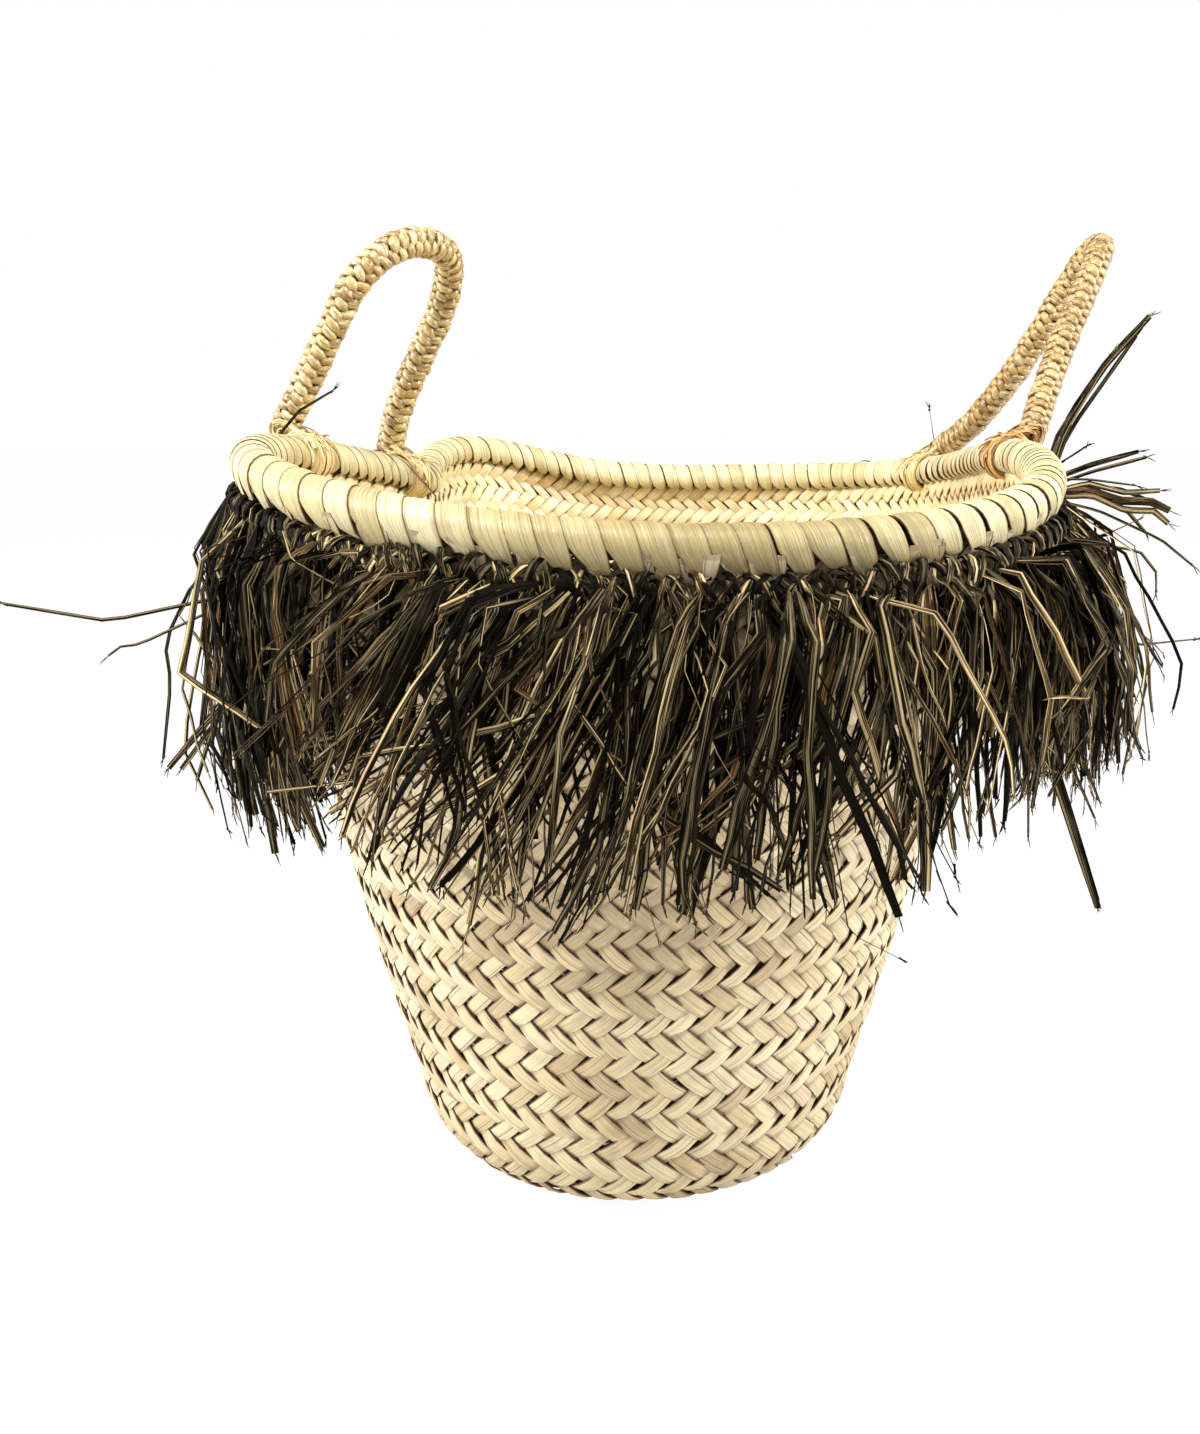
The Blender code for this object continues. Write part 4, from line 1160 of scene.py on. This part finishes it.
def make_braid(name, feet, lean, outline, height, seed, palest):
    points, gone = handle_line(feet, lean, outline, height)
    length = gone[-1]
    rows = round(length / BEAD_PITCH)
    fine = np.linspace(0, length, 8 * rows + 1)
    spot, side, other = line_frames(points, gone, fine)
    chance = np.random.default_rng(seed)
    row, column = (part.ravel() for part in np.meshgrid(np.arange(rows), np.arange(BEAD_COLUMNS)))
    count = len(row)
    middle = (row + 0.5 * (column % 2) + 0.25) * length / rows + chance.normal(0, 0.00018, count)
    facing = FULL_TURN * column / BEAD_COLUMNS + chance.normal(0, 0.05, count)
    slant = np.where(column % 2 == 0, 1.0, -1.0) * BEAD_SLANT * chance.uniform(0.6, 1.4, count)
    size = chance.uniform(0.88, 1.12, count)
    stand = chance.normal(0, 0.00016, count)

    def place(copy, plain):
        share = 2 * plain[:, 0] - 1
        full = np.maximum(1.02 - np.abs(share) ** 1.7, 0.02) ** 0.75
        where = middle[copy] + slant[copy] * share + plain[:, 1] * BEAD_PITCH * 1.14 * size[copy] * full
        where = np.clip(where, 0, length)
        angle = facing[copy] + BEAD_SPAN / 2 * share
        from_end = np.minimum(where, length - where)
        ball = np.sqrt(1 - np.clip(1 - from_end / HANDLE_RADIUS, 0, 1) ** 2)
        radius = HANDLE_RADIUS + 0.0005 - BEAD_THICKNESS / 2 + stand[copy] - 0.0013 * share ** 2
        radius = (radius + plain[:, 2] * BEAD_THICKNESS * full) * np.maximum(ball, 0.05)
        ring = [np.interp(where, fine, part[:, axis]) for part in (spot, side, other) for axis in range(3)]
        centre, first, second = (np.stack(ring[i:i + 3], axis=1) for i in (0, 3, 6))
        spoke = first * np.cos(angle)[:, None] + second * np.sin(angle)[:, None]
        return centre + spoke * radius[:, None]

    made = many(name, small_strand(6, 6), count, place, palest * chance.random(count), sharp=80.0)
    made.data.materials.append(straw)
    print(f"{name}: {1000 * length:.0f} mm long")
    return made


left_braid = make_braid("left_handle_braid", (190.0, 166.0), -28.0, LEFT_LOOP, 0.081, 51, 0.95)
# Painted shade: the right braid gets darker tones than the left.
right_braid = make_braid("right_handle_braid", (357.0, 36.0), 28.0, RIGHT_LOOP, 0.084, 52, 0.30)
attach(left_braid, "left_handle")
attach(right_braid, "right_handle")
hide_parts("left_handle_sheath")
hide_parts("right_handle_sheath")

# %% [markdown]
# Each foot is tied down with golden fibre. A torus or two would look like wire, so the lashing is
# made strand by strand. Some fibres are wound one and a half times round the roll under the foot and
# cross each other. Others start beside the foot, clasp its round end, and spread down over the roll
# to both sides. Each is a closed flat bar along its line, and some ends stick out.

# %% The lashings
WOUND_FIBRES = 30
FOOT_FIBRES = 40
LASHING_TURNS = 1.55
LASHING_STEPS = 40
FIBRE_THICKNESS = 0.0006


def wound_line(start, share, layer, chance):
    """A fibre wound round the roll near a length of rim; layer runs from 0 to 1 outward."""
    angle = math.radians(chance.uniform(-120, -50)) + FULL_TURN * LASHING_TURNS * share
    drift = chance.uniform(-0.0050, 0.0050) + (share - 0.5) * chance.uniform(-0.008, 0.008)
    radius = ROLL_RADIUS + 0.0011 + 0.0009 * layer
    radius += 0.0012 * smooth(share, 0.93, 1.0) * chance.uniform(0, 1.6)
    return round_roll(start + drift, angle, radius)


def clasping_line(start, share, way, hand, chance):
    """A fibre from beside the foot down over the roll: way is its side of the roll, inner or outer,
    and hand its side of the foot, each 1 or -1."""
    angle = math.pi / 2 - FOOT_SLANT + way * math.radians(chance.uniform(50, 150)) * share
    drift = hand * chance.uniform(0.0052, 0.0062) * (1 - 0.6 * share) + chance.normal(0, 0.0040) * share
    radius = ROLL_RADIUS + 0.0020 + chance.uniform(0.0030, 0.0075) * smooth(share, 0.40, 0.0)
    radius += 0.0016 * smooth(share, 0.7, 1.0) * chance.uniform(0, 1.4)
    return round_roll(start + drift, angle, radius)


def make_lashing(name, degrees, seed, palest):
    chance = np.random.default_rng(seed)
    start = np.interp(math.radians(degrees % 360), RIM_TURNS, RIM_GONE)
    share = np.linspace(0, 1, LASHING_STEPS + 1)
    lines = [wound_line(start, share, fibre_index / WOUND_FIBRES, chance) for fibre_index in range(WOUND_FIBRES)]
    for fibre_index in range(FOOT_FIBRES):
        way = 1 if fibre_index % 2 else -1
        hand = 1 if fibre_index % 4 < 2 else -1
        lines.append(clasping_line(start, share, way, hand, chance))
    lines = np.stack(lines)
    count = len(lines)
    ways = unit(np.gradient(lines, axis=1))
    spokes = unit(lines - mouth(np.array(math.radians(degrees))))
    flats = np.cross(ways, spokes)
    widths = chance.uniform(0.0006, 0.0016, count)

    def place(copy, plain):
        step = np.round(plain[:, 0] * LASHING_STEPS).astype(int)
        return (lines[copy, step] + flats[copy, step] * (plain[:, 1] * widths[copy])[:, None]
                + spokes[copy, step] * (plain[:, 2] * FIBRE_THICKNESS)[:, None])

    made = many(name, small_strand(LASHING_STEPS), count, place,
                np.clip(palest - 0.5 * chance.random(count), 0, 1), sharp=30.0)
    made.data.materials.append(golden)
    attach(made, "basket")
    return made


# Each foot's turn angle on the rim, the seed of its chances, and the shade of its palest fibre.
FEET = (("left_near", 190, 61, 1.1), ("left_far", 166, 62, 1.0),
        ("right_near", 357, 63, 0.55), ("right_far", 36, 64, 0.95))
for name, degrees, seed, palest in FEET:
    lashing = make_lashing(f"{name}_winding", degrees, seed, palest)
    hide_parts(f"{name}_lashing")

# %% [markdown]
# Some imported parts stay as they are: the sewing cord in the seams, the bundle of leaf inside the rim
# and the rope inside the handles. Little or nothing of them shows, so their shapes need no more work,
# but between two leaves a glimpse of dark cord is right where bright plastic would be wrong.

# %% Finish of the parts that stay as they are packed
cord_fibre = fibre("cord_fibre", [(0.0, colour(92, 64, 34)), (1.0, colour(120, 88, 50))],
                   colour(54, 36, 20), colour(150, 116, 70), 0.75)
# Painted shade: the rim's core is dark brown, so the seams between the wraps look shaded.
core_painted_shade = fibre("rim_pith", [(0.0, colour(56, 38, 22)), (1.0, colour(70, 48, 28))],
             colour(34, 22, 12), colour(84, 60, 36), 0.8)
for name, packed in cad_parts.items():
    if name == "rim_core" or name.startswith("sewing_cord") or name.endswith("handle_core"):
        packed.data.materials.clear()
        packed.data.materials.append(core_painted_shade if name == "rim_core" else cord_fibre)
        print(name, "is finished in", packed.data.materials[0].name)

# %% [markdown]
# The stage is a wide pale floor, three soft lamps and a pale world. The lamps could be brightened
# until the paper turns white, but then the leaf would wash out. So the floor and the world are white
# to the camera alone, through the Light Path node, and to the light the floor is plain matt paint,
# which still takes a trace of the basket's shadow.

# %% Floor, lamps and world


def make_stage():
    paper = bmesh.new()
    bmesh.ops.create_grid(paper, x_segments=1, y_segments=1, size=6.0)
    data = bpy.data.meshes.new("floor")
    paper.to_mesh(data)
    paper.free()
    floor = bpy.data.objects.new("floor", data)
    bpy.context.scene.collection.objects.link(floor)
    paint = bpy.data.materials.new("white_paper")
    paint.use_nodes = True
    tree = paint.node_tree
    tree.nodes.clear()
    matt = node(tree, "ShaderNodeBsdfDiffuse", {"Color": (0.9, 0.9, 0.9, 1)})
    glow = node(tree, "ShaderNodeEmission", {"Color": (1, 1, 1, 1), "Strength": 1.03})
    path = node(tree, "ShaderNodeLightPath")
    share = maths(tree, "MULTIPLY", path.outputs["Is Camera Ray"], 0.94)
    mixed = node(tree, "ShaderNodeMixShader", {0: share, 1: matt.outputs[0], 2: glow.outputs[0]})
    out = node(tree, "ShaderNodeOutputMaterial", {0: mixed.outputs[0]})
    data.materials.append(paint)
    return floor


floor = make_stage()


def lamp(name, place, target, size, power):
    data = bpy.data.lights.new(name, "AREA")
    data.shape = "DISK"
    data.size = size
    data.energy = power
    made = bpy.data.objects.new(name, data)
    bpy.context.scene.collection.objects.link(made)
    made.location = place
    made.rotation_euler = (Vector(target) - Vector(place)).to_track_quat("-Z", "Y").to_euler()
    return made


lamp("left_lamp", (-1.5, -0.25, 0.9), (0, 0, 0.15), 0.5, 30.0)
lamp("right_lamp", (1.5, -0.15, 0.9), (0, 0, 0.15), 0.5, 25.0)
lamp("top_lamp", (0.0, -0.60, 1.5), (0, 0.05, 0.2), 0.6, 18.0)

world = bpy.data.worlds.new("pale_world")
bpy.context.scene.world = world
world.use_nodes = True
world_tree = world.node_tree
world_tree.nodes.clear()
seen = node(world_tree, "ShaderNodeLightPath")
room = node(world_tree, "ShaderNodeBackground", {"Color": (1, 1, 1, 1), "Strength": 0.40})
white = node(world_tree, "ShaderNodeBackground", {"Color": (1, 1, 1, 1), "Strength": 1.0})
either = node(world_tree, "ShaderNodeMixShader",
              {0: seen.outputs["Is Camera Ray"], 1: room.outputs[0], 2: white.outputs[0]})
node(world_tree, "ShaderNodeOutputWorld", {0: either.outputs[0]})

# %% [markdown]
# The camera stands in front of the basket, a little above the rim, and looks down at it. Close up
# with a wide lens, the mouth opens and the wall narrows quickly toward the floor. The Standard view
# shows each colour about as it is written.

# %% Camera and colour
LOOKING_DOWN = 13.88
camera = bpy.data.objects.new("camera", bpy.data.cameras.new("camera"))
bpy.context.scene.collection.objects.link(camera)
camera.location = (0, -0.5379, 0.3074)
camera.rotation_euler = (math.radians(90 - LOOKING_DOWN), 0, 0)
camera.data.lens = 33.89
camera.data.shift_x = -0.0242
camera.data.clip_start = 0.01
bpy.context.scene.camera = camera
bpy.context.scene.view_settings.view_transform = "Standard"
print("camera looks down", LOOKING_DOWN, "degrees, from", [round(v, 3) for v in camera.location])
